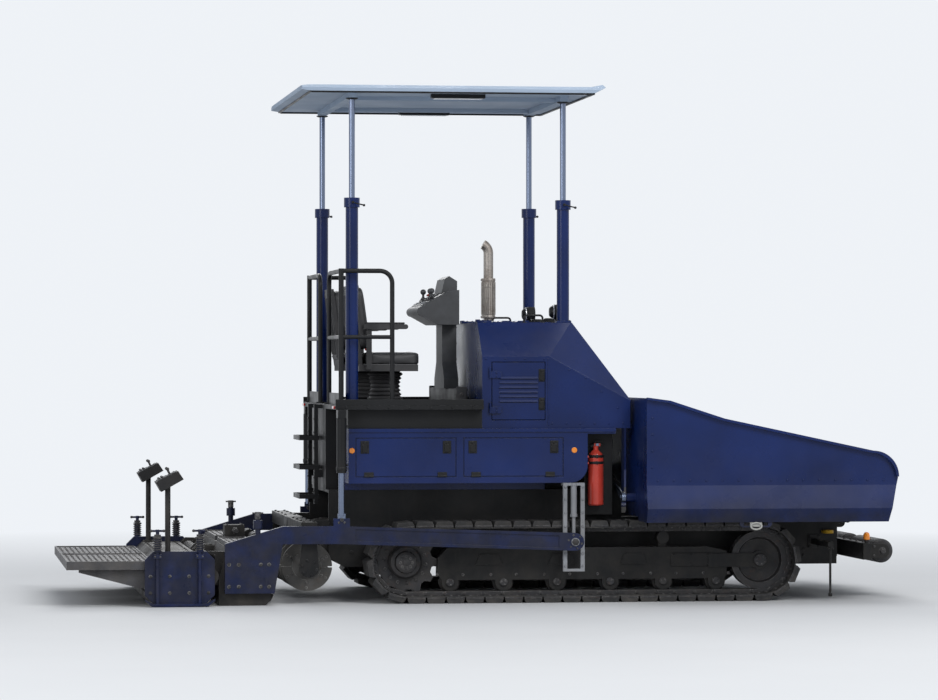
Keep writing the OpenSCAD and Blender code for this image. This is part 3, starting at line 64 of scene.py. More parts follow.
class Shader:
    """The node tree of a material or a world, with short calls that add nodes to it."""

    def __init__(self, owner):
        owner.use_nodes = True
        self.owner, self.tree = owner, owner.node_tree
        coords = self.node("ShaderNodeTexCoord").outputs
        self.place, self.facing = coords["Object"], coords["Normal"]

    def put(self, socket, value):
        if isinstance(value, bpy.types.NodeSocket):
            self.tree.links.new(value, socket)
        elif isinstance(value, tuple) and len(value) == 3 and socket.type == "RGBA":
            socket.default_value = (*value, 1.0)
        else:
            socket.default_value = value

    def node(self, kind, inputs=(), **settings):
        made = self.tree.nodes.new(kind)
        for key, value in settings.items():
            setattr(made, key, value)
        for key, value in dict(inputs).items():
            self.put(made.inputs[key], value)
        return made

    def math(self, operation, a, b, clamp=False):
        return self.node("ShaderNodeMath", {0: a, 1: b}, operation=operation, use_clamp=clamp).outputs[0]

    def times(self, *values):
        result = values[0]
        for value in values[1:]:
            result = self.math("MULTIPLY", result, value)
        return result

    def plus(self, a, b):
        return self.math("ADD", a, b, clamp=True)

    def most(self, a, b):
        return self.math("MAXIMUM", a, b)

    def scaled(self, *factors):
        """The place, stretched by one factor for each axis."""
        return self.node("ShaderNodeVectorMath", {0: self.place, 1: factors}, operation="MULTIPLY").outputs[0]

    def noise(self, scale, detail=4.0, rough=0.55, place=None):
        return self.node("ShaderNodeTexNoise", {"Vector": place or self.place, "Scale": scale,
                                                "Detail": detail, "Roughness": rough}).outputs["Fac"]

    def ramp(self, value, low, high, start=0.0, end=1.0):
        """The value from low to high, mapped to start to end and held beyond."""
        return self.node("ShaderNodeMapRange", {"Value": value, "From Min": low, "From Max": high,
                                                "To Min": start, "To Max": end}, clamp=True).outputs[0]

    def cloud(self, scale, detail, rough=0.55, low=0.3, high=0.7, start=0.0, end=1.0, place=None):
        """Noise between two of its levels."""
        return self.ramp(self.noise(scale, detail, rough, place), low, high, start, end)

    def mix(self, share, a, b):
        return self.node("ShaderNodeMix", {0: share, 6: a, 7: b}, data_type="RGBA").outputs[2]

    def up(self, vector):
        return self.node("ShaderNodeSeparateXYZ", {0: vector}).outputs[2]

    def worn(self, radius, *pattern):
        """Share of worn edge: where the surface turns within a radius, broken up by a noise."""
        soft = self.node("ShaderNodeBevel", {"Radius": radius}, samples=6).outputs[0]
        true = self.node("ShaderNodeNewGeometry").outputs["Normal"]
        turn = self.node("ShaderNodeVectorMath", {0: soft, 1: true}, operation="DOT_PRODUCT").outputs["Value"]
        return self.times(self.ramp(turn, 0.995, 0.86), self.cloud(*pattern))

    def set(self, **values):
        """Sets the Principled shader's sockets, named with _ for a space."""
        for key, value in values.items():
            self.put(self.tree.nodes["Principled BSDF"].inputs[key.replace("_", " ")], value)

    def bump(self, height, distance, bevel=0.0, strength=1.0):
        """Relief in metres, on top of edges that are rounded by a small radius."""
        inputs = {"Height": height, "Distance": distance, "Strength": strength}
        if bevel:
            inputs["Normal"] = self.node("ShaderNodeBevel", {"Radius": bevel}, samples=4).outputs[0]
        self.set(Normal=self.node("ShaderNodeBump", inputs).outputs[0])


def surface(name):
    s = Shader(bpy.data.materials.new(name))
    FINISH[name] = s.owner
    return s


def painted(name, colour, gloss, bare=(0.1, 0.1, 0.105), wear=0.6, dust=0.5, coat=0.0, peel=0.00012,
            bevel=0.004, vary=0.26, low_shade_and_tar=0.0):
    """Machine enamel: colour drift, worn edges, road dust low down and on top, and near the ground a darkening that
    is painted shade and tar stain together.
    """
    s = surface(name)
    base = s.mix(s.cloud(1.7, 3.0), shade(colour, 1 - vary), shade(colour, 1 + vary))
    worn = s.times(s.worn(0.006, 38.0, 6.0, 0.7, 0.5, 0.62, 0.0, 1.0, s.scaled(1.0, 1.0, 2.6)), wear)
    base = s.mix(worn, base, bare)
    low = s.ramp(s.up(s.place), 1.25, 0.15)
    patches = s.cloud(5.5, 6.0, 0.62, 0.36, 0.68)
    streaks = s.cloud(9.0, 4.0, 0.6, 0.45, 0.75, place=s.scaled(3.0, 3.0, 0.35))
    settled = s.times(s.ramp(s.up(s.facing), 0.35, 0.95), s.cloud(14.0, 5.0, start=0.25, end=0.75))
    grime = s.times(low, s.most(patches, s.times(streaks, 0.7)))
    grime = s.times(s.most(grime, settled), dust)
    # Darker towards the bottom, near-black below 0.8 m: painted shade under the wings and tar stain together.
    if low_shade_and_tar:
        stain = s.times(s.ramp(s.up(s.place), 0.8, 0.62), s.cloud(6.5, 7.0, 0.6, 0.3, 0.55, 0.35, 1.0))
        base = s.mix(s.times(stain, low_shade_and_tar), base, LOW_SHADE_AND_TAR)
    rough = s.plus(s.cloud(3.1, 5.0, start=gloss * 0.8, end=gloss * 1.35), s.times(grime, 0.45))
    s.set(Base_Color=s.mix(grime, base, DUST), Roughness=s.plus(rough, s.times(worn, 0.2)),
          Specular_IOR_Level=0.2, Coat_Weight=coat, Coat_Roughness=0.12)
    s.bump(s.math("ADD", s.noise(420.0, 2.0), s.times(s.noise(2.2, 2.0), 6.0)), peel, bevel)


def bare_metal(name, colour, rough, stained, scratch=(60.0, 4.0, 4.0), stain=(0.16, 0.1, 0.06)):
    """Bare or plated steel: brushed roughness, stains and fine scratches."""
    s = surface(name)
    lines = s.noise(6.0, 8.0, 0.7, s.scaled(*scratch))
    marks = s.times(s.cloud(4.0, 6.0, 0.65, 0.5, 0.78), stained)
    base = s.mix(s.ramp(lines, 0.3, 0.7), shade(colour, 0.8), shade(colour, 1.15))
    s.set(Base_Color=s.mix(marks, base, stain), Metallic=0.9,
          Roughness=s.plus(s.ramp(lines, 0.2, 0.8, rough * 0.75, rough * 1.3), s.times(marks, 0.5)))
    s.bump(lines, 0.00015, 0.002)


def cast(name, colour, rust=0.2, dust=0.5, polish=0.0):
    """Rough cast or hot-rolled steel with rust freckles and dust."""
    s = surface(name)
    pits = s.noise(90.0, 6.0, 0.7)
    base = s.mix(s.cloud(6.0, 5.0), shade(colour, 0.7), shade(colour, 1.3))
    base = s.mix(s.times(s.cloud(22.0, 8.0, 0.75, 0.56, 0.72), rust), base, RUST)
    base = s.mix(s.times(s.worn(0.006, 30.0, 4.0, 0.55, 0.42, 0.58), 0.55 + polish), base, RUBBED_STEEL)
    low = s.ramp(s.up(s.place), 1.1, 0.0, 0.15, 1.0)
    grime = s.times(low, s.cloud(7.0, 6.0, 0.65, 0.38, 0.66), dust)
    s.set(Base_Color=s.mix(grime, base, DUST), Metallic=0.55,
          Roughness=s.plus(s.ramp(pits, 0.3, 0.7, 0.42, 0.68), s.times(grime, 0.3)))
    s.bump(pits, 0.0006, 0.003)


def rubbery(name, colour, grain=140.0, depth=0.0005, dust=0.6, rough=0.72):
    """Rubber or moulded plastic with a fine grain, pale scuffs and dust."""
    s = surface(name)
    grains = s.noise(grain, 5.0, 0.6)
    base = s.mix(s.cloud(9.0, 5.0), shade(colour, 0.7), shade(colour, 1.35))
    scuff = s.times(s.worn(0.008, 26.0, 5.0, 0.55, 0.4, 0.6), 0.35)
    base = s.mix(scuff, base, tuple(c * 3.0 + 0.03 for c in colour))
    low = s.ramp(s.up(s.place), 1.4, 0.0, 0.2, 1.0)
    grime = s.times(low, s.cloud(8.0, 6.0, 0.65, 0.4, 0.66), dust)
    s.set(Base_Color=s.mix(grime, base, DUST),
          Roughness=s.ramp(grains, 0.3, 0.7, rough * 0.88, min(1.0, rough * 1.15)))
    s.bump(grains, depth, 0.003)


def lamp_glass(name):
    """Clear lamp glass with a ribbed reflector behind it."""
    s = surface(name)
    ribs = s.node("ShaderNodeTexWave", {"Vector": s.place, "Scale": 26.0, "Distortion": 0.4},
                  bands_direction="Y").outputs["Fac"]
    s.set(Base_Color=s.mix(s.ramp(ribs, 0.2, 0.8), (0.62, 0.64, 0.66), (0.92, 0.93, 0.95)), Metallic=0.35,
          Roughness=s.cloud(40.0, 4.0, start=0.05, end=0.16))
    s.bump(ribs, 0.0015, strength=0.8)


# The navy is darkened low down by painted shade and tar stain together.
painted("navy_paint", NAVY, 0.27, wear=0.45, dust=0.1, coat=0.12, low_shade_and_tar=0.7)
painted("frame_black", BLACK, 0.42, wear=0.7, dust=0.12)
painted("rail_paint", BLACK, 0.36, wear=0.8, dust=0.12)
painted("grille_black", (0.01, 0.01, 0.011), 0.5, wear=0.2, dust=0.12)
painted("screed_black", (0.019, 0.019, 0.02), 0.45, wear=0.8, dust=0.22)
painted("guide_grey", (0.27, 0.28, 0.3), 0.38, wear=0.9, dust=0.3)
painted("pale_steel", (0.5, 0.5, 0.47), 0.42, wear=0.8, dust=0.15)
painted("extinguisher_red", (0.5, 0.045, 0.028), 0.25, wear=0.5, dust=0.15, coat=0.4)
painted("lug_paint", (0.62, 0.36, 0.02), 0.38, wear=0.9, dust=0.3)
painted("roof_skin", (0.34, 0.42, 0.53), 0.6, bare=(0.62, 0.66, 0.7), wear=0.3, dust=0.08, peel=0.0003, vary=0.07)
painted("amber_reflector", (0.8, 0.24, 0.015), 0.12, wear=0.1, dust=0.08, coat=0.8, bevel=0.001)
painted("red_reflector", (0.55, 0.015, 0.012), 0.12, wear=0.1, dust=0.08, coat=0.8, bevel=0.001)
painted("screen_glass", (0.006, 0.01, 0.014), 0.06, wear=0.0, dust=0.04, coat=1.0, bevel=0.001)
cast("conveyor_steel", (0.085, 0.083, 0.08), dust=0.2, polish=0.3)
cast("cast_steel", (0.034, 0.034, 0.037), rust=0.3, dust=0.16)
cast("engine_iron", (0.075, 0.077, 0.08), dust=0.1)
cast("auger_steel", (0.1, 0.098, 0.094), rust=0.3, dust=0.25, polish=0.35)
cast("walkway_steel", (0.075, 0.075, 0.08), rust=0.15, dust=0.3)
bare_metal("exhaust_steel", (0.36, 0.33, 0.3), 0.42, 0.8, (4.0, 4.0, 30.0), (0.13, 0.065, 0.035))
bare_metal("chrome_rod", (0.17, 0.205, 0.29), 0.2, 0.12)
rubbery("track_rubber", (0.014, 0.014, 0.015), dust=0.2)
rubbery("seat_plastic", (0.02, 0.02, 0.022), 300.0, 0.0002, 0.2, 0.55)
rubbery("seat_vinyl", (0.022, 0.022, 0.024), 420.0, 0.0003, 0.15, 0.5)
rubbery("console_grey", (0.04, 0.042, 0.046), 260.0, 0.0003, 0.1, 0.5)
rubbery("seam_thread", (0.1, 0.1, 0.11), 900.0, 0.0001, 0.1, 0.8)
lamp_glass("lamp_lens")
for row in frame["record"]["subparts"]:
    node_mesh = frame["nodes"][row["node"]].data
    node_mesh.materials.clear()
    node_mesh.materials.append(FINISH[row["material_slot"]])


# Simple closed forms, as (points, faces)

def chamfered(size, ease):
    """Box round the origin with small flats along its edges."""
    half = [v / 2 for v in size]
    ease = min([ease] + [h * 0.8 for h in half])
    points, number = [], {}
    signs = (-1, 1)
    corners = [(a, b, c) for a in signs for b in signs for c in signs]
    for corner in corners:
        for k in range(3):
            number[(*corner, k)] = len(points)
            points.append(tuple(v * (h - ease * (axis != k)) for axis, (v, h) in enumerate(zip(corner, half))))
    faces = [tuple(number[(*corner, k)] for k in range(3)) for corner in corners]
    for k, (i, j) in enumerate(((1, 2), (0, 2), (0, 1))):
        for s in signs:
            ring = ((-1, -1), (1, -1), (1, 1), (-1, 1))
            faces.append(tuple(number[(*pair[:k], s, *pair[k:], k)] for pair in ring))
            for t in signs:
                edge = ((-1, i), (1, i), (1, j), (-1, j))
                faces.append(tuple(number[(*(s, t)[:k], end, *(s, t)[k:], axis)] for end, axis in edge))
    return points, faces


def polar(radius, turn, height=0.0):
    """Place at an angle round Z."""
    return Vector((radius * cos(turn), radius * sin(turn), height))


def turned(profile, sides=20):
    """Solid turned about Z from (radius, height) pairs, closed on the axis at both ends."""
    start, end = [[(0, height)] if radius else [] for radius, height in (profile[0], profile[-1])]
    profile = start + list(profile) + end
    points, faces, rings = [], [], []
    for radius, height in profile:
        count = sides if radius else 1
        rings.append(list(range(len(points), len(points) + count)))
        for i in range(count):
            points.append(polar(radius, 2 * pi * i / sides, height))
    for low, high in zip(rings, rings[1:]):
        for i in range(sides):
            j = (i + 1) % sides
            if len(low) == 1:
                faces.append((low[0], high[i], high[j]))
            elif len(high) == 1:
                faces.append((low[i], low[j], high[0]))
            else:
                faces.append((low[i], low[j], high[j], high[i]))
    return points, faces


def disc(radius, low, high, sides=20):
    return turned([(radius, low), (radius, high)], sides)


def cap(radius, low, shoulder, top, high, sides=20):
    """Disc with a sloping edge from its shoulder's height in to its top's radius."""
    return turned([(radius, low), (radius, shoulder), (top, high)], sides)


def rows_of_faces(count, rows, total=None):
    """Faces between rows of points round a form. With a total of rows, the last row meets the first."""
    total = total or rows + 1
    return [(i * count + k, i * count + (k + 1) % count, (i + 1) % total * count + (k + 1) % count,
             (i + 1) % total * count + k) for i in range(rows) for k in range(count)]


def tube(path, radius, sides=10, closed=False):
    """Round tube along a path of points."""
    path = [Vector(p) for p in path]
    last = len(path) - 1
    points, up = [], None
    for i, place in enumerate(path):
        if closed:
            along = path[(i + 1) % len(path)] - path[i - 1]
        else:
            along = path[min(i + 1, last)] - path[max(i - 1, 0)]
        along.normalize()
        up = up or along.orthogonal()
        up = (up - along * up.dot(along)).normalized()
        side = along.cross(up)
        for k in range(sides):
            u, v = polar(radius, 2 * pi * k / sides).xy
            points.append(place + up * u + side * v)
    if closed:
        return points, rows_of_faces(sides, last + 1, last + 1)
    return points, rows_of_faces(sides, last) + [tuple(range(sides)), tuple(last * sides + k for k in range(sides))]


def bent(corners, radius, steps=5):
    """Path through corner points, with each inner corner rounded."""
    corners = [Vector(c) for c in corners]
    path = [corners[0]]
    for before, corner, after in zip(corners, corners[1:], corners[2:]):
        cut = min(radius, (corner - before).length * 0.45, (after - corner).length * 0.45)
        start = corner + (before - corner).normalized() * cut
        end = corner + (after - corner).normalized() * cut
        for t in spread(0, 1, steps + 1):
            path.append(start * (1 - t) ** 2 + corner * (2 * t * (1 - t)) + end * t ** 2)
    return path + [corners[-1]]


def slab(outline, depth):
    """Flat plate with a closed outline of (u, v) points, from 0 to its depth along Z."""
    count = len(outline)
    points = [(u, v, w) for w in (0.0, depth) for u, v in outline]
    return points, rows_of_faces(count, 1) + [tuple(range(count)), tuple(range(count, 2 * count))]


def joined(*forms):
    points, faces = [], []
    for form_points, form_faces in forms:
        base = len(points)
        points += form_points
        faces += [tuple(base + i for i in face) for face in form_faces]
    return points, faces


def bolt(radius):
    """Hexagon bolt with its washer."""
    washer = disc(radius * 1.3, 0, radius * 0.2, 14)
    return joined(washer, cap(radius, radius * 0.1, radius * 0.72, radius * 0.86, radius * 0.86, 6))


def dome(radius, height):
    """Low round head of a rivet."""
    profile = [(radius, -0.001), (radius, height * 0.35), (radius * 0.8, height * 0.8), (radius * 0.4, height)]
    return turned(profile, 12)


def around(count, start=0.0):
    """Even angles round a circle."""
    return [start + 2 * pi * i / count for i in range(count)]


def ring_of(count, radius, centre, axis):
    """Places round a centre, square to an axis, whichever way it points."""
    axis = Vector([abs(c) for c in axis])
    first = axis.orthogonal().normalized()
    second = axis.cross(first)
    return [Vector(centre) + first * (radius * cos(t)) + second * (radius * sin(t)) for t in around(count)]


def grid(*ranges):
    """Every place with one of the x, y and z given, each as one number or several."""
    xs, ys, zs = (r if isinstance(r, (list, tuple)) else [r] for r in ranges)
    return [(x, y, z) for x in xs for y in ys for z in zs]


def four_round(x, y, z, wide, deep):
    """Four places at the corners of a flat rectangle, from its middle and half its sides."""
    return grid((x - wide, x + wide), (y - deep, y + deep), z)


def spread(start, end, count):
    """Evenly spaced numbers with both ends."""
    return [start + (end - start) * i / (count - 1) for i in range(count)]


at = Matrix.Translation
X, Y, Z = Vector((1, 0, 0)), Vector((0, 1, 0)), Vector((0, 0, 1))
SIDES = (("left", 1), ("right", -1))
PIECES = []


def spin(angle, axis):
    return Matrix.Rotation(angle, 4, axis)


def aim(place, direction, turn=0.0):
    """Places a form so that its Z points along a direction."""
    return at(Vector(place)) @ Vector(direction).to_track_quat("Z", "Y").to_matrix().to_4x4() @ spin(turn, "Z")


def basis(*axes):
    return Matrix(axes).transposed().to_4x4()


class Piece:
    """One piece of the scene: forms of one finish that ride on one body. All are made when the list is complete."""

    def __init__(self, name, slot, body="tractor", finish=None, smooth=32.0, stands_for=None):
        self.name, self.slot, self.body, self.finish = name, slot, body, finish or slot
        self.smooth, self.stands_for = smooth, stands_for
        self.points, self.faces = [], []
        PIECES.append(self)

    def add(self, form, matrix=Matrix()):
        base = len(self.points)
        self.points += [tuple(matrix @ Vector(p)) for p in form[0]]
        self.faces += [tuple(base + i for i in face) for face in form[1]]

    def block(self, size, ease, matrix, place=(0, 0, 0)):
        """Box by its size, at a place in the matrix's own directions."""
        self.add(chamfered(size, ease), matrix @ at(place))

    def box(self, x, y, z, ease=0.003):
        """Box by its ranges along the axes, each in either order."""
        ranges = [sorted(r) for r in (x, y, z)]
        self.block([b - a for a, b in ranges], ease, at([(a + b) / 2 for a, b in ranges]))

    def bar(self, start, end, radius, sides=16):
        """Round bar between two places, with its end edges eased."""
        start, end = Vector(start), Vector(end)
        length = (end - start).length
        ease = min(0.0015, radius * 0.4, length * 0.4)
        profile = [(radius - ease, 0), (radius, ease), (radius, length - ease), (radius - ease, length)]
        self.add(turned(profile, sides), aim(start, end - start))

    def bolts(self, places, direction, radius):
        """Bolts at places, each turned a little further than the one before."""
        for i, place in enumerate(places):
            self.add(bolt(radius), aim(place, direction, 0.4 * i))

    def ring(self, count, circle, centre, direction, radius):
        """Bolts on a circle, which is given by its radius and centre."""
        self.bolts(ring_of(count, circle, centre, direction), direction, radius)

    def repeat(self, form, places, direction):
        for place in places:
            self.add(form, aim(place, direction))

    def make(self):
        mesh = bpy.data.meshes.new(self.name)
        mesh.from_pydata(self.points, [], self.faces)
        shape = bmesh.new()
        shape.from_mesh(mesh)
        bmesh.ops.recalc_face_normals(shape, faces=shape.faces)
        shape.to_mesh(mesh)
        shape.free()
        mesh.polygons.foreach_set("use_smooth", [True] * len(mesh.polygons))
        mesh.set_sharp_from_angle(angle=radians(self.smooth))
        piece = shown(self.name, mesh, self.finish, self.body)
        if self.stands_for:
            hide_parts(self.stands_for)


def shown(name, mesh, finish, body):
    mesh.materials.clear()
    mesh.materials.append(FINISH[finish])
    piece = bpy.data.objects.new(name, mesh)
    SCENE.collection.objects.link(piece)
    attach(piece, body)
    return piece


# Places of the CAD model, in metres
TRACK_Y = 1.0
SPROCKET_X, IDLER_X, AXLE_Z, ROLLER_Z = -0.62, 2.03, 0.3, 0.1473
PITCH_R, SHOES, WEB = 0.255, 48, 0.008
WALL_X, REAR_X = 1.05, -1.15
HOOD_W, HOOD_TOP, BEVEL, HOOD_REAR_X = 1.12, 2.06, 0.25, -0.06
BOX_W = 1.154
DECK_Z, DECK_W = 1.45, 1.21
POSTS = ((0.59, 0.82, HOOD_TOP), (-1.015, 1.06, DECK_Z))
ROOF_Z = 3.74
SEAT_X, SEAT_Y = -0.72, 0.64
ARM_OUT, TOW_X, TOW_Z = 1.262, 0.61, 0.45
LIFT_X, LIFT_Y = -1.11, 1.237
GUIDE_X, GUIDE_Z = -2.065, (0.33, 0.215)
EXT_OUT, EXT_H = 1.26, 0.36
AUGER_X, AUGER_Z, AUGER_R, AUGER_PITCH, AUGER_START, AUGER_TURNS = -1.34, 0.27, 0.18, 0.3, 0.154, 3.25


# Tracks

def loop_at(s, inward=0.0):
    """Point at a length along the chain's pitch line from the lower run's rear, moved inward."""
    base, arc, r = IDLER_X - SPROCKET_X, pi * PITCH_R, PITCH_R - inward
    s %= 2 * (base + arc)
    if s < base:
        return Vector((SPROCKET_X + s, 0, AXLE_Z - r))
    if base + arc <= s < 2 * base + arc:
        return Vector((IDLER_X - (s - base - arc), 0, AXLE_Z + r))
    if s < base + arc:
        centre, turn = IDLER_X, -pi / 2 + (s - base) / PITCH_R
    else:
        centre, turn = SPROCKET_X, pi / 2 + (s - 2 * base - arc) / PITCH_R
    return Vector((centre + r * cos(turn), 0, AXLE_Z + r * sin(turn)))


def track(side, s):
    """Links, pins and bolts of the track's chain, and the bolts of its sprocket, idler, rollers and frame."""
    pitch = 2 * (IDLER_X - SPROCKET_X + pi * PITCH_R) / SHOES
    pin = cap(0.013, 0, 0.005, 0.01, 0.008, 12)
    kinds = ("links", "shoe_edges", "shoe_bolts")
    links, edges, bolts = [Piece(f"track_{kind}_{side}", "cast_steel") for kind in kinds]
    middle = Y * (s * TRACK_Y)
    for i in range(SHOES):
        a, b = loop_at(i * pitch, 0.022), loop_at((i + 1) * pitch, 0.022)
        along, length = b - a, (b - a).length
        for lane in (-0.045, 0.045):
            for face in (-1, 1):
                out = middle + Y * (lane + face * 0.0165)
                links.block((length * 0.98, 0.005, 0.03), 0.003,
                            at((a + b) / 2 + out) @ spin(atan2(-along.z, along.x), "Y"))
                links.add(pin, aim(a + out, Y * face))
        p, q = loop_at(i * pitch), loop_at((i + 1) * pitch)
        centre, chord = (p + q) / 2 + middle, (q - p).normalized()
        out = Vector((chord.z, 0, -chord.x))
        for face in (-1, 1):
            edges.block((length * 0.88, 0.004, 0.0135), 0.0015,
                        at(centre + out * 0.0078 + Y * (face * 0.1602)) @ spin(atan2(-chord.z, chord.x), "Y"))
        bolts.bolts([centre - out * (WEB - 0.0012) + Y * y + chord * x for y in (-0.125, -0.092, 0.092, 0.125)
                     for x in (-0.028, 0.028)], -out, 0.0075)
    gear = Piece("drive_and_roller_bolts_" + side, "cast_steel")
    out, hub, fork, beam = Y * s, *(s * (TRACK_Y + y) for y in (0.116, 0.078, 0.06))
    gear.ring(8, 0.043, (SPROCKET_X, hub, AXLE_Z), out, 0.0085)
    gear.ring(14, 0.155, (SPROCKET_X, s * (TRACK_Y + 0.018), AXLE_Z), out, 0.0105)
    gear.ring(6, 0.036, (IDLER_X, fork + s * 0.016, AXLE_Z), out, 0.007)
    gear.add(cap(0.021, -0.001, 0.006, 0.012, 0.01), aim((SPROCKET_X, hub, AXLE_Z), out))
    gear.add(cap(0.05, -0.001, 0.01, 0.044, 0.016, 28), aim((IDLER_X, fork, AXLE_Z), out))
    for x in spread(SPROCKET_X + 0.33, IDLER_X - 0.33, 6):
        gear.add(cap(0.03, -0.001, 0.008, 0.024, 0.012, 22), aim((x, beam, ROLLER_Z), out))
        gear.ring(3, 0.018, (x, beam + s * 0.012, ROLLER_Z), out, 0.005)
        gear.repeat(bolt(0.009), [(x + dx, beam, 0.205) for dx in (-0.095, 0.095)], out)
    plates = Piece("track_frame_plates_" + side, "frame_black")
    low, high = sorted((beam, beam + s * 0.01))
    plates.box((1.36, 1.66), (low, high), (0.255, 0.355))
    for x in (0.0, 0.54, 1.08):
        plates.add(slab([(-0.1, -0.04), (0.1, -0.04), (0.07, 0.04), (-0.07, 0.04)], 0.01),
                   at((x, high, 0.315)) @ spin(pi / 2, "X"))
    plates.bolts(grid((1.38, 1.51, 1.64), beam + s * 0.01, (0.272, 0.338)), out, 0.008)


# Hopper

def wing(side, s):
    body = "hopper_wing_" + side
    studs = Piece("wing_fasteners_" + side, "navy_paint", body)
    places = [(x, 0.905) for x in spread(1.16, 2.84, 15)] + [(1.12, z) for z in (1.0, 1.12, 1.24, 1.36)]
    studs.repeat(dome(0.009, 0.005), [(x, s * 1.592, z) for x, z in places], Y * s)
    for x in (1.19, 2.0, 2.53):
        studs.bolts([(x + dx, s * 0.86, 0.632) for dx in (-0.05, 0.05)], -Z, 0.01)
    eye = Piece("wing_lashing_ring_" + side, "guide_grey", body, "pale_steel")
    eye.box((1.845, 1.935), (s * 1.584, s * 1.59), (0.566, 0.6))
    eye.add(tube([(1.89 + 0.04 * cos(t), s * 1.596, 0.572 + 0.024 * sin(t)) for t in around(28)], 0.0065, 10, True))
    wear = Piece("wing_wear_plates_" + side, "conveyor_steel", body)
    low, high = Vector((0, 0.8, 0.678)), Vector((0, 1.385, 0.763))
    slope, mid = high - low, (low + high) / 2
    for i in range(3):
        wear.block((0.555, slope.length * 0.96, 0.006), 0.002, at((1.42 + i * 0.575, s * mid.y, mid.z + 0.0035))
                   @ spin(s * atan2(slope.z, slope.y), "X"))


def hopper():
    """Hinge straps and rubber lip of the front flap, and the fixed wall's fasteners and apron."""
    flap = Piece("flap_hinge_straps", "frame_black", "hopper_flap")
    lean = at((2.725, 0, 0.56)) @ spin(-radians(25), "Y")
    for y in spread(-0.6, 0.6, 5):
        flap.block((0.16, 0.05, 0.008), 0.003, lean, (0.085, y, 0.0105))
        for x in (0.05, 0.125):
            flap.add(bolt(0.008), lean @ at((x, y, 0.0145)))
    lip = Piece("flap_rubber_lip", "track_rubber", "hopper_flap")
    lip.block((0.016, 1.34, 0.036), 0.004, lean, (0.225, 0, 0.019))
    wall = Piece("hopper_wall_fasteners", "navy_paint")
    for y in spread(-0.66, 0.66, 9):
        wall.bolts(grid(WALL_X + 0.02, y, (0.86, 1.46)), X, 0.006)
    apron = Piece("hopper_wall_apron", "track_rubber")
    apron.box((WALL_X + 0.019, WALL_X + 0.0235), (-0.66, 0.66), (0.9, 1.02), 0.0015)
    apron.box((WALL_X + 0.0225, WALL_X + 0.0255), (-0.66, 0.66), (0.985, 1.012), 0.001)


# Hood, doors, side boxes, lamps, grille and exhaust

def latch(piece, place, out, wide):
    """Paddle latch: a dished plate with a lever across it."""
    here = at(place) @ basis(Z.cross(out), Z, out)
    piece.block((wide, 0.092, 0.006), 0.002, here, (0, 0, 0.0025))
    piece.block((wide * 0.65, 0.06, 0.008), 0.003, here, (0, -0.008, 0.008))
    piece.add(disc(0.009, 0, 0.007, 14), here @ at((0, 0.033, 0.004)))


def hood_side(side, s):
    out, face = Y * s, s * (HOOD_W + 0.003)
    door = Piece("door_latches_" + side, "frame_black", "side_door_" + side)
    for z in (1.46, 1.67):
        latch(door, (0.381, face, z), out, 0.044)
    blades = Piece("door_louvre_blades_" + side, "navy_paint", "side_door_" + side)
    for i in range(6):
        blades.add(slab([(-0.146, -0.009), (0.146, -0.009), (0.14, 0.009), (-0.14, 0.009)], 0.0022),
                   at((0.21, face + s * 0.004, 1.482 + 0.034 * i)) @ spin(s * -radians(62), "X"))
    blades.bolts(grid(0.045, s * (HOOD_W + 0.018), (1.402, 1.428, 1.661, 1.687)), out, 0.006)
    places = [(x, 1.315) for x in spread(0.46, 0.99, 6)] + [(0.95, 1.43), (0.83, 1.55), (0.71, 1.65), (0.59, 1.71)]
    places += [(x, 1.79) for x in spread(-0.03, 0.4, 4)]
    studs = Piece("hood_fasteners_" + side, "navy_paint")
    studs.repeat(dome(0.008, 0.004), [(x, s * HOOD_W, z) for x, z in places], out)
    strip = Piece("hood_panel_strip_" + side, "navy_paint")
    strip.box((0.425, 0.437), (s * (HOOD_W - 0.004), s * (HOOD_W + 0.0035)), (1.3, 1.795), 0.002)
    grab = Piece("hood_grab_handles_" + side, "rail_paint")
    low, high = HOOD_TOP - 0.002, HOOD_TOP + 0.055
    handle = [(x, s * 0.8, z) for x, z in ((0.3, low), (0.3, high), (0.44, high), (0.44, low))]
    grab.add(tube(bent(handle, 0.03), 0.008))
    grab.repeat(turned([(0.02, 0), (0.018, 0.005)], 16), grid((0.3, 0.44), s * 0.8, HOOD_TOP), Z)


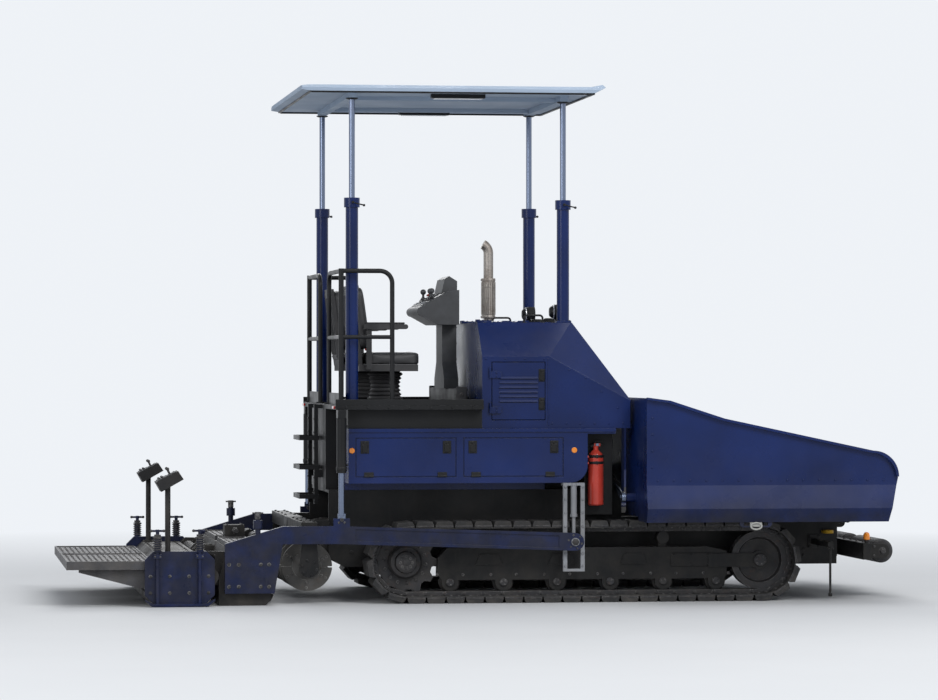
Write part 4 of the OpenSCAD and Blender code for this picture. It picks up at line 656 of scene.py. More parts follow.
def box_side(side, s):
    locker = Piece("locker_latches_" + side, "frame_black")
    for x in (-0.93, -0.325, -0.135, 0.47):
        latch(locker, (x, s * BOX_W, 1.145), Y * s, 0.062)
    for x in (-0.9, -0.36, -0.11, 0.44):
        locker.box((x - 0.035, x + 0.035), (s * BOX_W, s * (BOX_W + 0.006)), (0.935, 0.962), 0.002)
        locker.bar((x - 0.035, s * (BOX_W + 0.007), 0.932), (x + 0.035, s * (BOX_W + 0.007), 0.932), 0.006, 12)
    amber = Piece("side_reflectors_" + side, "lamp_lens", finish="amber_reflector")
    reflector = turned([(0.021, 0), (0.021, 0.004), (0.018, 0.007), (0, 0.008)], 28)
    amber.repeat(reflector, grid((-1.025, 0.62), s * BOX_W, 1.12), Y * s)
    red = Piece("rear_lamps_" + side, "lamp_lens", finish="red_reflector")
    red.box((REAR_X - 0.012, REAR_X + 0.002), (s * 1.06, s * 1.17), (1.425, 1.446))
    shells = Piece("work_lamp_shells_" + side, "frame_black")
    centre = Vector((0.57, s * 0.67, HOOD_TOP + 0.082))
    shells.add(turned([(0.03, -0.058), (0.04, -0.05), (0.0555, -0.02), (0.0575, 0.0), (0.0575, 0.04), (0.0545, 0.04),
                       (0.053, 0.034), (0, 0.03)], 32), aim(centre, X))
    fork = [centre + Y * y - Z * z for y, z in ((0.06, 0), (0.06, 0.068), (-0.06, 0.068), (-0.06, 0))]
    shells.add(tube(bent(fork, 0.02), 0.004, 8))
    for y in (-0.06, 0.06):
        shells.add(bolt(0.008), aim(centre + Y * y, Y * y))
    shells.box((0.554, 0.586), (s * 0.648, s * 0.692), (HOOD_TOP - 0.001, HOOD_TOP + 0.036), 0.002)
    glass = Piece("work_lamp_ribs_" + side, "lamp_lens")
    for y in spread(-0.036, 0.036, 7):
        glass.block((0.004, 0.0045, 2 * sqrt(0.046 ** 2 - y ** 2)), 0.0015, at(centre + X * 0.035 + Y * y))


def hood():
    """Louvres on the lid, service caps, the grille in the sloping front, and the exhaust stack."""
    lid = Piece("hood_lid_louvres", "navy_paint", "hood_lid")
    for x in (0.19, 0.31):
        for y in spread(-0.58, 0.58, 6):
            lid.add(slab([(-0.042, 0), (0.042, 0), (0.03, 0.01), (-0.03, 0.01)], 0.165),
                    at((x, y + 0.0825, HOOD_TOP + 0.0065)) @ spin(pi / 2, "X"))
    for y in (-0.42, 0.42):
        lid.bolts([(x, y + dy, HOOD_TOP + 0.022) for x in (0.045, 0.085) for dy in (-0.012, 0.012)], Z, 0.005)
    ribs = [turned([(0.052, 0), (0.052, 0.01), (0.044, 0.014), (0.044, 0.034), (0.038, 0.04)], 32)]
    for t in around(12):
        points, faces = chamfered((0.006, 0.007, 0.02), 0.002)
        here = aim(polar(0.044, t, 0.023), Z, t)
        ribs.append(([tuple(here @ Vector(p)) for p in points], faces))
    Piece("service_caps", "frame_black").repeat(joined(*ribs), grid(0.575, (0.36, -0.3), HOOD_TOP), Z)

    here = at((0.8475, 0, 1.775)) @ spin(atan2(0.57, 0.395), "Y")  # the middle of the grille's opening
    grille = Piece("grille_mesh", "grille_black")
    for x in spread(-0.238, 0.238, 34):
        grille.block((0.0022, 0.744, 0.0022), 0.0007, here, (x, 0, -0.026))
    for y in spread(-0.37, 0.37, 52):
        grille.block((0.486, 0.0022, 0.0022), 0.0007, here, (0, y, -0.0285))
    core = Piece("radiator_core", "engine_iron")
    core.block((0.47, 0.73, 0.02), 0.003, here, (0, 0, -0.062))
    for y in spread(-0.35, 0.35, 61):
        core.block((0.45, 0.0035, 0.01), 0.001, here, (0, y, -0.048))
    edge = Piece("grille_frame", "grille_black")
    for side in (-1, 1):
        edge.block((0.022, 0.8, 0.008), 0.003, here, (side * 0.262, 0, 0.0005))
        edge.block((0.546, 0.022, 0.008), 0.003, here, (0, side * 0.391, 0.0005))
        for y in spread(-0.36, 0.36, 6):
            edge.add(bolt(0.006), here @ at((side * 0.262, y, 0.0045)))

    stack = Vector((0.2675, HOOD_W - BEVEL - 0.056, HOOD_TOP))
    clamps = Piece("exhaust_clamps", "exhaust_steel")
    band = turned([(0.0545, -0.012), (0.0555, -0.009), (0.0555, 0.009), (0.0545, 0.012)], 32)
    clamps.repeat(band, [stack + Z * z for z in (0.062, 0.352)], Z)
    clamps.repeat(bolt(0.006), [stack + Z * z - X * 0.056 for z in (0.062, 0.352)], -X)
    clamps.ring(4, 0.0465, stack + Z * 0.016, Z, 0.005)
    shield = Piece("exhaust_heat_shield", "exhaust_steel")
    for t in around(20):
        shield.block((0.003, 0.0105, 0.255), 0.001, at(stack + polar(0.0555, t, 0.207)) @ spin(t, "Z"))
    for z in (0.12, 0.207, 0.294):
        shield.add(tube([stack + polar(0.056, t, z) for t in around(32)], 0.0025, 6, True))


def extinguisher():
    bottle = Vector((0.795, -1.06, 0.71))
    valve = Piece("extinguisher_valve", "frame_black")
    valve.block((0.072, 0.02, 0.012), 0.003, at(bottle + Vector((0.02, 0, 0.47))) @ spin(-0.1, "Y"))
    valve.block((0.06, 0.018, 0.008), 0.003, at(bottle + Vector((0.024, 0, 0.448))) @ spin(0.12, "Y"))
    valve.bar(bottle + Vector((-0.012, 0, 0.446)), bottle + Vector((-0.038, 0, 0.43)), 0.01)
    strap = turned([(0.059, -0.01), (0.06, -0.008), (0.06, 0.008), (0.059, 0.01)], 36)
    for z in (0.315, 0.362):
        valve.add(strap, at(bottle + Z * z))
        valve.block((0.018, 0.012, 0.024), 0.003, at(bottle + Vector((0.0, -0.062, z))))
    dial = turned([(0.012, 0), (0.0125, 0.002), (0.0125, 0.007), (0.011, 0.008), (0.0105, 0.0065)], 22)
    Piece("extinguisher_gauge", "chrome_rod").add(dial, aim(bottle + Vector((0.01, -0.0095, 0.447)), -Y))


def tow_guide(side, s):
    guide = Piece("tow_guide_bolts_" + side, "guide_grey")
    y = s * 1.2
    for z in (0.27, 0.36, 0.56, 0.66, 0.76, 0.85):
        guide.bolts(grid((0.545, 0.675), y, z), Y * s, 0.0075)
    for i, z in enumerate(spread(0.55, 0.83, 15)):
        guide.box((0.667, 0.683 if i % 5 else 0.689), (y - s * 0.001, y + s * 0.0012), (z - 0.001, z + 0.001), 0.0004)
    guide.repeat(disc(0.027, -0.01, 0.01, 6), grid(TOW_X, s * 1.185, (0.64, 0.868)), Z)
    Piece("tow_pin_heads_" + side, "cast_steel").add(cap(0.028, -0.0005, 0.003, 0.022, 0.006, 6),
                                                     aim((TOW_X, s * 1.272, TOW_Z), Y * s))
    lugs = Piece("ladder_and_frame_bolts_" + side, "frame_black")
    lugs.bolts(grid((-0.98, -0.86), s * 0.72, (0.36, 0.44)), Y * s, 0.012)
    lugs.bolts(grid((2.44, 2.66), s * 0.72, (0.32, 0.36)), Y * s, 0.01)


def steering_pointer():
    pointer = Piece("steering_pointer_clamp", "rail_paint")
    pointer.box((2.498, 2.542), (-1.285, -1.235), (0.385, 0.398))
    pointer.bolts([(2.52, -1.24, 0.44)], Z, 0.009)
    pointer.bolts(grid((2.487, 2.553), -0.734, (0.382, 0.458)), -Y, 0.008)


# Platform, console, rails and roof

def tread(piece, x, y, z):
    """Raised lozenges of chequer plate, in turns of direction."""
    step, height = 0.038, 0.0018
    points = [(u, v, w) for a, b, w in ((0.015, 0.0042, 0), (0.0095, 0.002, height)) for u, v in
              ((a, 0), (0, b), (-a, 0), (0, -b))]
    lozenge = points, [(0, 1, 5, 4), (1, 2, 6, 5), (2, 3, 7, 6), (3, 0, 4, 7), (4, 5, 6, 7), (3, 2, 1, 0)]
    columns, rows = int((x[1] - x[0]) / step), int((y[1] - y[0]) / step)
    for i in range(columns):
        for j in range(rows):
            place = (x[0] + (i + 0.5) * (x[1] - x[0]) / columns, y[0] + (j + 0.5) * (y[1] - y[0]) / rows, z)
            piece.add(lozenge, at(place) @ spin(pi / 4 * (1 if (i + j) % 2 else -1), "Z"))


def platform():
    """Chequer plate, kick strips, rail feet, the console's rail stops, the roof posts' clamps and the ladder."""
    floor = Piece("platform_chequer", "walkway_steel")
    floor.box((REAR_X + 0.004, HOOD_REAR_X - 0.004), (-DECK_W + 0.004, DECK_W - 0.004),
              (DECK_Z - 0.001, DECK_Z + 0.0012), 0.0005)
    tread(floor, (REAR_X + 0.02, HOOD_REAR_X - 0.02), (-DECK_W + 0.02, DECK_W - 0.02), DECK_Z + 0.001)
    edge = Piece("platform_edge_strips", "frame_black")
    locks = Piece("post_clamp_levers", "rail_paint")
    rail = Piece("console_rail_stops", "cast_steel")
    for s in (1, -1):
        edge.box((REAR_X, HOOD_REAR_X), (s * (DECK_W - 0.01), s * (DECK_W - 0.002)),
                 (DECK_Z - 0.001, DECK_Z + 0.045), 0.002)
        edge.bolts(grid(spread(REAR_X + 0.08, HOOD_REAR_X - 0.08, 7), s * DECK_W, DECK_Z - 0.015), Y * s, 0.006)
        for x, y in ((REAR_X + 0.045, 1.165), (REAR_X + 0.42, 1.165), (REAR_X + 0.045, 0.33)):
            edge.ring(4, 0.03, (x, s * y, DECK_Z + 0.01), Z, 0.0045)
        rail.box((-0.205, -0.125), (s * 0.765, s * 0.785), (DECK_Z, DECK_Z + 0.135), 0.004)
        rail.bolts([(-0.165, s * 0.785, DECK_Z + 0.08)], Y * s, 0.009)
        for x, y, foot in POSTS:
            edge.bolts(four_round(x, s * y, foot + 0.014, 0.045, 0.039), Z, 0.006)
            hub = Vector((x, s * (y + 0.0585), 2.935))
            locks.bar(hub - Y * s * 0.004, hub + Y * s * 0.022, 0.01, 14)
            locks.add(tube([hub + Y * s * 0.016, hub + Y * s * 0.022 + X * 0.03 - Z * 0.01,
                            hub + Y * s * 0.024 + X * 0.075 - Z * 0.02], 0.005, 8))
            locks.add(turned([(0, -0.01), (0.007, -0.008), (0.01, 0), (0.007, 0.008), (0, 0.01)], 14),
                      aim(hub + Y * s * 0.024 + X * 0.08 - Z * 0.022, X))
    step = Piece("ladder_treads", "walkway_steel")
    step.repeat(turned([(0.0085, 0), (0.0065, 0.004)], 8),
                [(x, y, z + 0.0075) for z in (0.74, 0.96, 1.18) for x in spread(-1.305, -1.185, 5)
                 for y in spread(-0.21, 0.21, 13)], Z)
    step.bolts([(-1.21, s * 0.225, z) for s in (1, -1) for z in (0.8, 0.9, 1.02, 1.12, 1.24, 1.34)], -X, 0.006)


def console():
    """Screens, keys, lever boots, stop button and travel knob on the console's sloping face."""
    body, front, lever_x, screen_x = "operator_console", -0.12, -0.32, 0.022
    screens = ((0.155, 0.1, 0.115), (-0.055, 0.125, 0.085))
    levers = (-0.25, -0.17, 0.25)
    here = at((-0.31, 0, DECK_Z + 0.791)) @ spin(-atan2(0.118, 0.22), "Y")
    Piece("console_face_plates", "console_grey", body).block((0.205, 0.62, 0.006), 0.003, here, (0.0, 0, 0.002))
    screen = Piece("console_screens", "lamp_lens", body, "screen_glass")
    bezel = Piece("console_bezels", "seat_plastic", body)
    for y, w, h in screens:
        screen.block((h, w, 0.005), 0.002, here, (screen_x, y, 0.0085))
        for dy in (-1, 1):
            bezel.block((h + 0.026, 0.013, 0.01), 0.003, here, (screen_x, y + dy * (w / 2 + 0.005), 0.009))
            bezel.block((0.013, w + 0.022, 0.01), 0.003, here, (screen_x + dy * (h / 2 + 0.005), y, 0.009))
    folds = [(0.03, 0), (0.028, 0.006), (0.02, 0.01), (0.024, 0.014), (0.015, 0.019), (0.018, 0.023), (0.01, 0.029)]
    bezel.repeat(turned(folds), grid(lever_x, levers, DECK_Z + 0.786), Z)
    keys = Piece("console_keys", "guide_grey", body)
    for x in (-0.08, -0.058):
        for y in spread(-0.285, 0.285, 16):
            if abs(y - 0.06) > 0.045 and min(abs(y - lever) for lever in levers) > 0.034:
                keys.block((0.014, 0.022, 0.007), 0.002, here, (x, y, 0.007))
    stop = turned([(0.012, 0), (0.012, 0.01), (0.021, 0.012), (0.021, 0.02), (0.016, 0.025), (0, 0.026)], 26)
    Piece("console_stop_button", "extinguisher_red", body).add(stop, here @ at((0.055, 0.285, 0.004)))
    knob = Piece("console_knob_grip", "seat_plastic", body)
    knob.add(cap(0.0355, 0, 0.014, 0.031, 0.018, 28), at((lever_x, 0.06, DECK_Z + 0.787)))
    for t in around(14):
        ridge = Vector((lever_x, 0.06, DECK_Z)) + polar(0.0355, t, 0.794)
        knob.block((0.004, 0.005, 0.012), 0.001, at(ridge) @ spin(t, "Z"))
    plate = Piece("console_cover_bolts", "frame_black", body)
    plate.bolts([(front, y, DECK_Z + z) for y in (-0.15, 0.15) for z in (0.34, 0.46, 0.58)], X, 0.006)
    plate.box((front - 0.001, front + 0.003), (-0.13, 0.13), (DECK_Z + 0.36, DECK_Z + 0.56), 0.002)


def roof():
    beads = Piece("roof_beads", "roof_skin", "roof", smooth=40)
    for y in spread(-0.92, 0.92, 5):
        beads.block((1.86, 0.055, 0.016), 0.006, at((-0.31, y, ROOF_Z + 0.052)))
    dark = Piece("roof_edge_seal", "frame_black", "roof")
    light = Piece("roof_light_bars", "lamp_lens", "roof")
    hold = Piece("roof_light_housings", "frame_black", "roof")
    dark.box((-1.345, -1.325), (-1.247, 1.247), (ROOF_Z - 0.008, ROOF_Z + 0.006))
    dark.box((0.742, 0.76), (-1.247, 1.247), (ROOF_Z - 0.012, ROOF_Z + 0.004))
    for s in (1, -1):
        dark.box((-1.33, 0.75), (s * 1.222, s * 1.247), (ROOF_Z - 0.012, ROOF_Z + 0.003))
        for x, y, _ in POSTS:
            dark.add(turned([(0.045, 0), (0.045, 0.006), (0.03, 0.012)], 24), aim((x, s * y, ROOF_Z - 0.038), -Z))
            dark.bolts(four_round(x, s * y, ROOF_Z - 0.044, 0.026, 0.026), -Z, 0.004)
        hold.box((-0.42, -0.02), (s * 0.94, s * 1.02), (ROOF_Z - 0.03, ROOF_Z + 0.002), 0.004)
        light.box((-0.4, -0.04), (s * 0.952, s * 1.008), (ROOF_Z - 0.036, ROOF_Z - 0.029))


# Rear: cylinders, augers, conveyors, tow arms and screed

def on_flight(s, r, turns, along=0.0):
    """Place on an auger's helix, after some turns and moved along the shaft."""
    turn = 2 * pi * turns
    return Vector((AUGER_X + r * cos(turn), s * (AUGER_START + AUGER_PITCH * turns + along), AUGER_Z + r * sin(turn)))


def helix(s, radii, thick, turns):
    """Strip of an auger's flight between two radii, with its outer edges eased."""
    inner, outer = radii
    half, ease, steps = thick / 2, 0.002, max(2, round((turns[1] - turns[0]) * 72))
    section = ((inner, -half), (outer - ease, -half), (outer, ease - half), (outer, half - ease),
               (outer - ease, half), (inner, half))
    points = [on_flight(s, r, turn, along) for turn in spread(*turns, steps + 1) for r, along in section]
    return points, rows_of_faces(6, steps) + [tuple(range(6)), tuple(6 * steps + k for k in range(6))]


def auger(side, s):
    body = "auger_" + side
    flight = Piece("auger_flight_" + side, "auger_steel", body, stands_for=body)
    flight.add(helix(s, (0.04, 0.112), 0.009, (0.0, AUGER_TURNS)))
    for i in range(7):
        flight.add(helix(s, (0.1, AUGER_R), 0.014, (0.5 * i + 0.004, min(0.5 * i + 0.496, AUGER_TURNS))))
    for start, end, r in ((0.1105, 1.1755, 0.045), (0.1115, 0.1235, 0.064), (1.148, 1.17, 0.053)):
        flight.bar((AUGER_X, s * start, AUGER_Z), (AUGER_X, s * end, AUGER_Z), r, 40)
    flight.ring(6, 0.054, (AUGER_X, s * 0.123, AUGER_Z), Y * s, 0.006)
    bolts = Piece("auger_flight_bolts_" + side, "auger_steel", body)
    for i in range(int(AUGER_TURNS * 6)):
        share = (i + 0.5) / 6
        turn = 2 * pi * share
        for r in (0.12, 0.156):
            spot = on_flight(s, r, share)
            rise = AUGER_PITCH / (2 * pi * r)
            slope = Vector((sin(turn) * rise, s, -cos(turn) * rise)).normalized()
            for face in (1, -1):
                bolts.add(bolt(0.009), aim(spot + slope * face * 0.0062, slope * face))
    case = Piece("auger_carrier_bolts_" + side, "frame_black")
    case.ring(6, 0.055, (AUGER_X, s * 1.19, AUGER_Z), Y * s, 0.009)
    case.bolts([(x, s * y, 0.6) for x in (-1.375, -1.305) for y in (0.3, 0.6, 0.9, 1.14)], Z, 0.009)
    case.bolts([(AUGER_X - 0.062, s * y, z) for y in (0.04, 0.085) for z in (0.44, 0.5)], -X, 0.007)


def cylinders(side, s):
    """Glands and ports of the lift cylinder and of the wing cylinder."""
    ring = turned([(0.0385, 0), (0.0395, 0.002), (0.0395, 0.028), (0.0385, 0.03)], 28)
    gland = Piece("lift_cylinder_glands_" + side, "frame_black")
    gland.add(ring, at((LIFT_X, s * LIFT_Y, 0.975)))
    gland.repeat(disc(0.011, 0, 0.01, 6), grid(LIFT_X + 0.035, s * LIFT_Y, (1.3, 1.02)), X)
    gland.bolts(grid((-1.13, -1.09), s * 1.2, 1.359), -Z, 0.006)
    base, far = Vector((0.99, s * 0.26, 0.96)), Vector((0.99, s * 1.13, 0.77))
    along, reach = (far - base).normalized(), (far - base).length * 0.58
    ends = Piece("wing_cylinder_glands_" + side, "frame_black", "wing_barrel_" + side)
    for start, width, r in ((reach - 0.03, 0.028, 0.039), (0.075, 0.016, 0.038)):
        collar = turned([(r, 0), (r + 0.0005, 0.002), (r + 0.0005, width - 0.002), (r, width)], 28)
        ends.add(collar, aim(base + along * start, along))
    normal = X.cross(along).normalized()
    normal *= copysign(1, normal.z)
    ends.repeat(disc(0.01, 0, 0.012, 6), [base + along * d + normal * 0.0355 for d in (0.1, reach - 0.06)], normal)


def conveyor_chain(side, s):
    chains = Piece("conveyor_chain_links_" + side, "conveyor_steel")
    pin = cap(0.01, 0, 0.004, 0.008, 0.006, 10)
    for lane in (0.1, 0.632):
        for face in (-1, 1):
            for x in spread(-1.05, 2.48, 52):
                chains.block((0.066, 0.005, 0.03), 0.003, at((x, s * (lane + face * 0.0155), 0.549)))
                chains.add(pin, aim((x + 0.034, s * (lane + face * 0.0165), 0.549), Y * face * s))


def tow_arm(side, s):
    arm = Piece("tow_arm_hardware_" + side, "cast_steel", "screed")
    arm.ring(6, 0.05, (TOW_X, s * ARM_OUT, TOW_Z), Y * s, 0.006)
    arm.repeat(bolt(0.007), grid((-1.13, -1.09), s * ARM_OUT, 0.6), Y * s)
    arm.bar((LIFT_X, s * 1.204, 0.62), (LIFT_X, s * 1.271, 0.62), 0.014, 18)
    arm.bolts(grid((-1.93, -1.86, -1.7, -1.64), s * ARM_OUT, (0.14, 0.3)), Y * s, 0.011)
    thread = turned([(0.0205, 0), (0.0222, 0.003), (0.0205, 0.006)], 18)
    arm.repeat(thread, [(-1.72, s * LIFT_Y, 0.625 + 0.0045 * k) for k in range(12)], Z)
    arm.add(tube([(-1.76, s * LIFT_Y, 0.672), (-1.68, s * LIFT_Y, 0.672)], 0.006, 8))


def screed():
    plate = Piece("screed_front_hardware", "screed_black", "screed")
    for y in spread(-1.14, 1.14, 16):
        plate.bolts(grid(-1.6, y, (0.09, 0.3)), X, 0.009)
    strip = slab([(-1.6275, 0.026), (-1.6195, 0.036), (-1.599, 0.075), (-1.604, 0.078)], 2.38)
    Piece("screed_tamper_strip", "cast_steel", "screed").add(strip, at((0, 1.19, 0)) @ spin(pi / 2, "X"))
    crown = Piece("crown_adjuster_parts", "cast_steel", "screed")
    crown.bar((-1.795, -0.2, 0.5), (-1.795, 0.2, 0.5), 0.016, 18)
    crown.repeat(disc(0.026, -0.01, 0.01, 6), grid(-1.795, (-0.16, -0.12, 0.12, 0.16), 0.5), Y)
    crown.bolts(grid((-1.85, -1.74), (-0.07, 0.07), 0.54), Z, 0.009)
    walk = Piece("screed_walkway_chequer", "walkway_steel", "screed")
    for s in (1, -1):
        crown.ring(4, 0.03, (-1.66, s * 0.42, 0.45), Y * s, 0.006)
        crown.bolts([(-1.66, s * y, 0.496) for y in (0.21, 0.39)], Z, 0.006)
        for y in (0.11, 1.15):
            for z in GUIDE_Z:
                for face in (-1, 1):
                    crown.bolts([p for p in ring_of(4, 0.052, (GUIDE_X, s * (y + face * 0.018), z), Y)
                                 if p.x > GUIDE_X - 0.047], Y * s * face, 0.0045)
        tread(walk, (-1.915, -1.735), sorted((s * 0.125, s * 1.155)), 0.446)


def extension(side, s):
    body = "screed_extension_" + side
    tread(Piece("extension_walkway_chequer_" + side, "walkway_steel", body), (-3.083, -2.497),
          sorted((s * 0.035, s * 1.223)), 0.322)
    gate = Piece("end_gate_springs_" + side, "cast_steel", body)
    spindles = (-2.45, -2.145)
    for x in spindles:
        place = Vector((x, s * (EXT_OUT + 0.045), 0))
        coil = zip(spread(0, 12 * pi, 85), spread(0.404, 0.498, 85))
        gate.add(tube([place + polar(0.0285, t, z) for t, z in coil], 0.0042, 7))
        gate.add(disc(0.033, -0.004, 0.003), at(place + Z * 0.503))
        gate.add(disc(0.024, -0.008, 0.008, 6), at(place + Z * 0.516))
        ball = turned([(0, -0.011), (0.008, -0.009), (0.011, 0), (0.008, 0.009), (0, 0.011)], 14)
        gate.repeat(ball, [place + X * dx + Z * 0.55 for dx in (-0.045, 0.045)], X)
    gate.bolts(grid((-2.5, -2.36, -2.22, -2.08), s * (EXT_OUT + 0.02), (0.1, 0.22)), Y * s, 0.01)
    feet = [x + dx for x in spindles for dx in (-0.019, 0.019)]
    gate.bolts(grid(feet, s * (EXT_OUT + 0.072), 0.365), Y * s, 0.005)
    turn = at((-2.38, s * 1.175, 0.94)) @ spin(-atan2(0.08, 0.16), "Y")
    panel = Piece("screed_control_panel_" + side, "console_grey", body)
    panel.block((0.15, 0.205, 0.006), 0.003, turn, (0, 0, 0.002))
    screen = Piece("screed_control_screen_" + side, "lamp_lens", body, "screen_glass")
    screen.block((0.055, 0.085, 0.004), 0.0015, turn, (0.03, 0.0, 0.0065))
    knobs = Piece("screed_control_knobs_" + side, "seat_plastic", body)
    for x in (-0.055, -0.03):
        for y in spread(-0.08, 0.08, 6):
            knobs.add(turned([(0.008, 0), (0.007, 0.012), (0, 0.013)], 12), turn @ at((x, y, 0.004)))
    stick = turned([(0.005, 0), (0.005, 0.03), (0.011, 0.036), (0.011, 0.046), (0.007, 0.052), (0, 0.053)], 16)
    for y in (-0.075, 0.075):
        knobs.add(stick, turn @ at((0.03, y, 0.004)))
    hard = Piece("extension_bolts_" + side, "screed_black", body)
    hard.bolts([(-2.48, s * y, 0.06) for y in spread(0.08, 1.2, 9)], -X, 0.009)
    hard.bolts([(x, s * y, EXT_H) for x in (-2.4, -2.17) for y in spread(0.08, 1.14, 7)], Z, 0.008)
    hard.repeat(bolt(0.005), ring_of(4, 0.034, (-2.37, s * 1.2, EXT_H + 0.012), Z), Z)


def push_beam():
    beam = Piece("push_beam_hardware", "cast_steel", "push_beam")
    beam.ring(6, 0.045, (2.79, 0, 0.415), Z, 0.007)
    amber = Piece("front_marker_lamps", "lamp_lens", "push_beam", "amber_reflector")
    foot = Piece("front_marker_brackets", "frame_black", "push_beam")
    lamp = turned([(0.024, 0), (0.025, 0.004), (0.025, 0.034), (0.018, 0.05), (0.008, 0.056), (0, 0.057)], 26)
    for side, s in SIDES:
        ends = Piece("push_roller_end_bolts_" + side, "cast_steel", "push_roller_" + side)
        ends.bolts([(3.01, s * 0.11, 0.35)], -Y * s, 0.018)
        ends.bolts([(3.01, s * 0.88, 0.35)], Y * s, 0.018)
        beam.bolts(grid(2.945, s * 0.88, (0.315, 0.385)), Y * s, 0.008)
        beam.bolts([(2.88, s * y, 0.412) for y in (0.2, 0.4, 0.6, 0.8)], Z, 0.009)
        foot.box((2.868, 2.892), (s * 0.892, s * 0.932), (0.41, 0.44))
        amber.add(lamp, at((2.88, s * 0.912, 0.438)))


# Seats: pads sewn from cloth, blown up by a simulation and held at their seams

PAD_SWELL = 0.014
CLOTH = {"quality": 6, "mass": 0.25, "tension_stiffness": 12.0, "compression_stiffness": 12.0,
         "bending_stiffness": 0.4, "use_pressure": True, "uniform_pressure_force": 4.0, "vertex_group_mass": "sewn"}
CLOTH_FRAMES = 20


def rounded_outline(length, width, corner, steps=7):
    outline = []
    for quarter, (cx, cy) in enumerate(((1, 1), (-1, 1), (-1, -1), (1, -1))):
        for share in spread(0, 1, steps + 1):
            turn = pi / 2 * (quarter + share)
            outline.append((cx * (length / 2 - corner) + corner * cos(turn),
                            cy * (width / 2 - corner) + corner * sin(turn)))
    return outline


def seam_lines(length, width):
    """Sewn lines on a pad's face: two along it beside the bolsters, and three across between them."""
    bolster = width / 2 - 0.075
    lines = [((-length / 2 + 0.02, side * bolster), (length / 2 - 0.02, side * bolster)) for side in (-1, 1)]
    return lines + [((x, -bolster), (x, bolster)) for x in spread(-length / 4, length / 4, 3)]


def seam_distance(points, length, width):
    """Distance in the plane from each point to the nearest sewn line."""
    found = []
    for a, b in seam_lines(length, width):
        a, along = np.array(a), np.array(b) - np.array(a)
        share = np.clip(((points[:, :2] - a) @ along) / (along @ along), 0.0, 1.0)
        found.append(np.linalg.norm(points[:, :2] - (a + share[:, None] * along), axis=1))
    return np.min(found, axis=0)


def places_of(mesh):
    flat = np.empty(len(mesh.vertices) * 3)
    mesh.vertices.foreach_get("co", flat)
    return flat.reshape(-1, 3)


def modified(pad, kind, **settings):
    made = pad.modifiers.new(kind, kind)
    for key, value in settings.items():
        setattr(made, key, value)
    bpy.ops.object.modifier_apply(modifier=made.name)
    return places_of(pad.data)


def blown_up(pad, rest, held):
    """The pad's places after the cloth simulation, with each move held to the swell."""
    group = pad.vertex_groups.new(name=CLOTH["vertex_group_mass"])
    for rows, weight in held:
        group.add([int(i) for i in np.nonzero(rows)[0]], weight, "ADD")
    cloth = pad.modifiers.new("cloth", "CLOTH")
    for key, value in CLOTH.items():
        setattr(cloth.settings, key, value)
    cloth.settings.effector_weights.gravity = 0.0
    cloth.collision_settings.use_collision = False
    cloth.collision_settings.use_self_collision = False
    cloth.point_cache.frame_start, cloth.point_cache.frame_end = 1, CLOTH_FRAMES
    for number in range(1, CLOTH_FRAMES + 1):
        SCENE.frame_set(number)
    bpy.ops.object.modifier_apply(modifier=cloth.name)
    SCENE.frame_set(1)
    move = places_of(pad.data) - rest
    far = np.maximum(np.linalg.norm(move, axis=1), 1e-9)
    return rest + move * np.minimum(1.0, PAD_SWELL / far)[:, None]


def sewn_pad(name, length, width, thick, corner):
    """Mesh of one pad round its own origin, flat at z = 0, with its face at the top."""
    inner = PAD_SWELL * 0.75
    levels = ((0.0, 0.006), (0.008, 0.0), (thick - 0.034, 0.0), (thick - 0.022, 0.004), (thick - 0.013, 0.016))
    outlines = [(z, rounded_outline(length - 2 * (inner + inset), width - 2 * (inner + inset), corner - inset))
                for z, inset in levels]
    points = [(u, v, z) for z, outline in outlines for u, v in outline]
    count = len(outlines[0][1])
    faces = rows_of_faces(count, len(levels) - 1)
    faces += [tuple(reversed(range(count))), tuple(range(len(points) - count, len(points)))]
    mesh = bpy.data.meshes.new(name)
    mesh.from_pydata(points, [], faces)
    pad = bpy.data.objects.new(name, mesh)
    SCENE.collection.objects.link(pad)
    bpy.context.view_layer.objects.active = pad
    rest = modified(pad, "REMESH", mode="VOXEL", voxel_size=0.009)
    seams = seam_distance(rest, length, width)
    top = rest[:, 2] > thick - 0.02
    shape = blown_up(pad, rest, ((rest[:, 2] < 0.004, 1.0), (top & (seams < 0.0046), 0.92)))
    shape[:, 2] = np.maximum(shape[:, 2], 0.0)
    pad.data.vertices.foreach_set("co", shape.ravel())
    fine = modified(pad, "SUBSURF", levels=1)
    channel = 0.0035 * np.exp(-(seam_distance(fine, length, width) / 0.0042) ** 2)
    fine[:, 2] -= np.where(fine[:, 2] > thick * 0.72, channel, 0.0)
    low, high = np.array((-length / 2, -width / 2, 0.0)), np.array((length / 2, width / 2, thick + 0.008))
    mesh = pad.data
    mesh.vertices.foreach_set("co", np.clip(fine, low, high).ravel())
    mesh.polygons.foreach_set("use_smooth", [True] * len(mesh.polygons))
    mesh.update()
    bpy.data.objects.remove(pad)
    return mesh


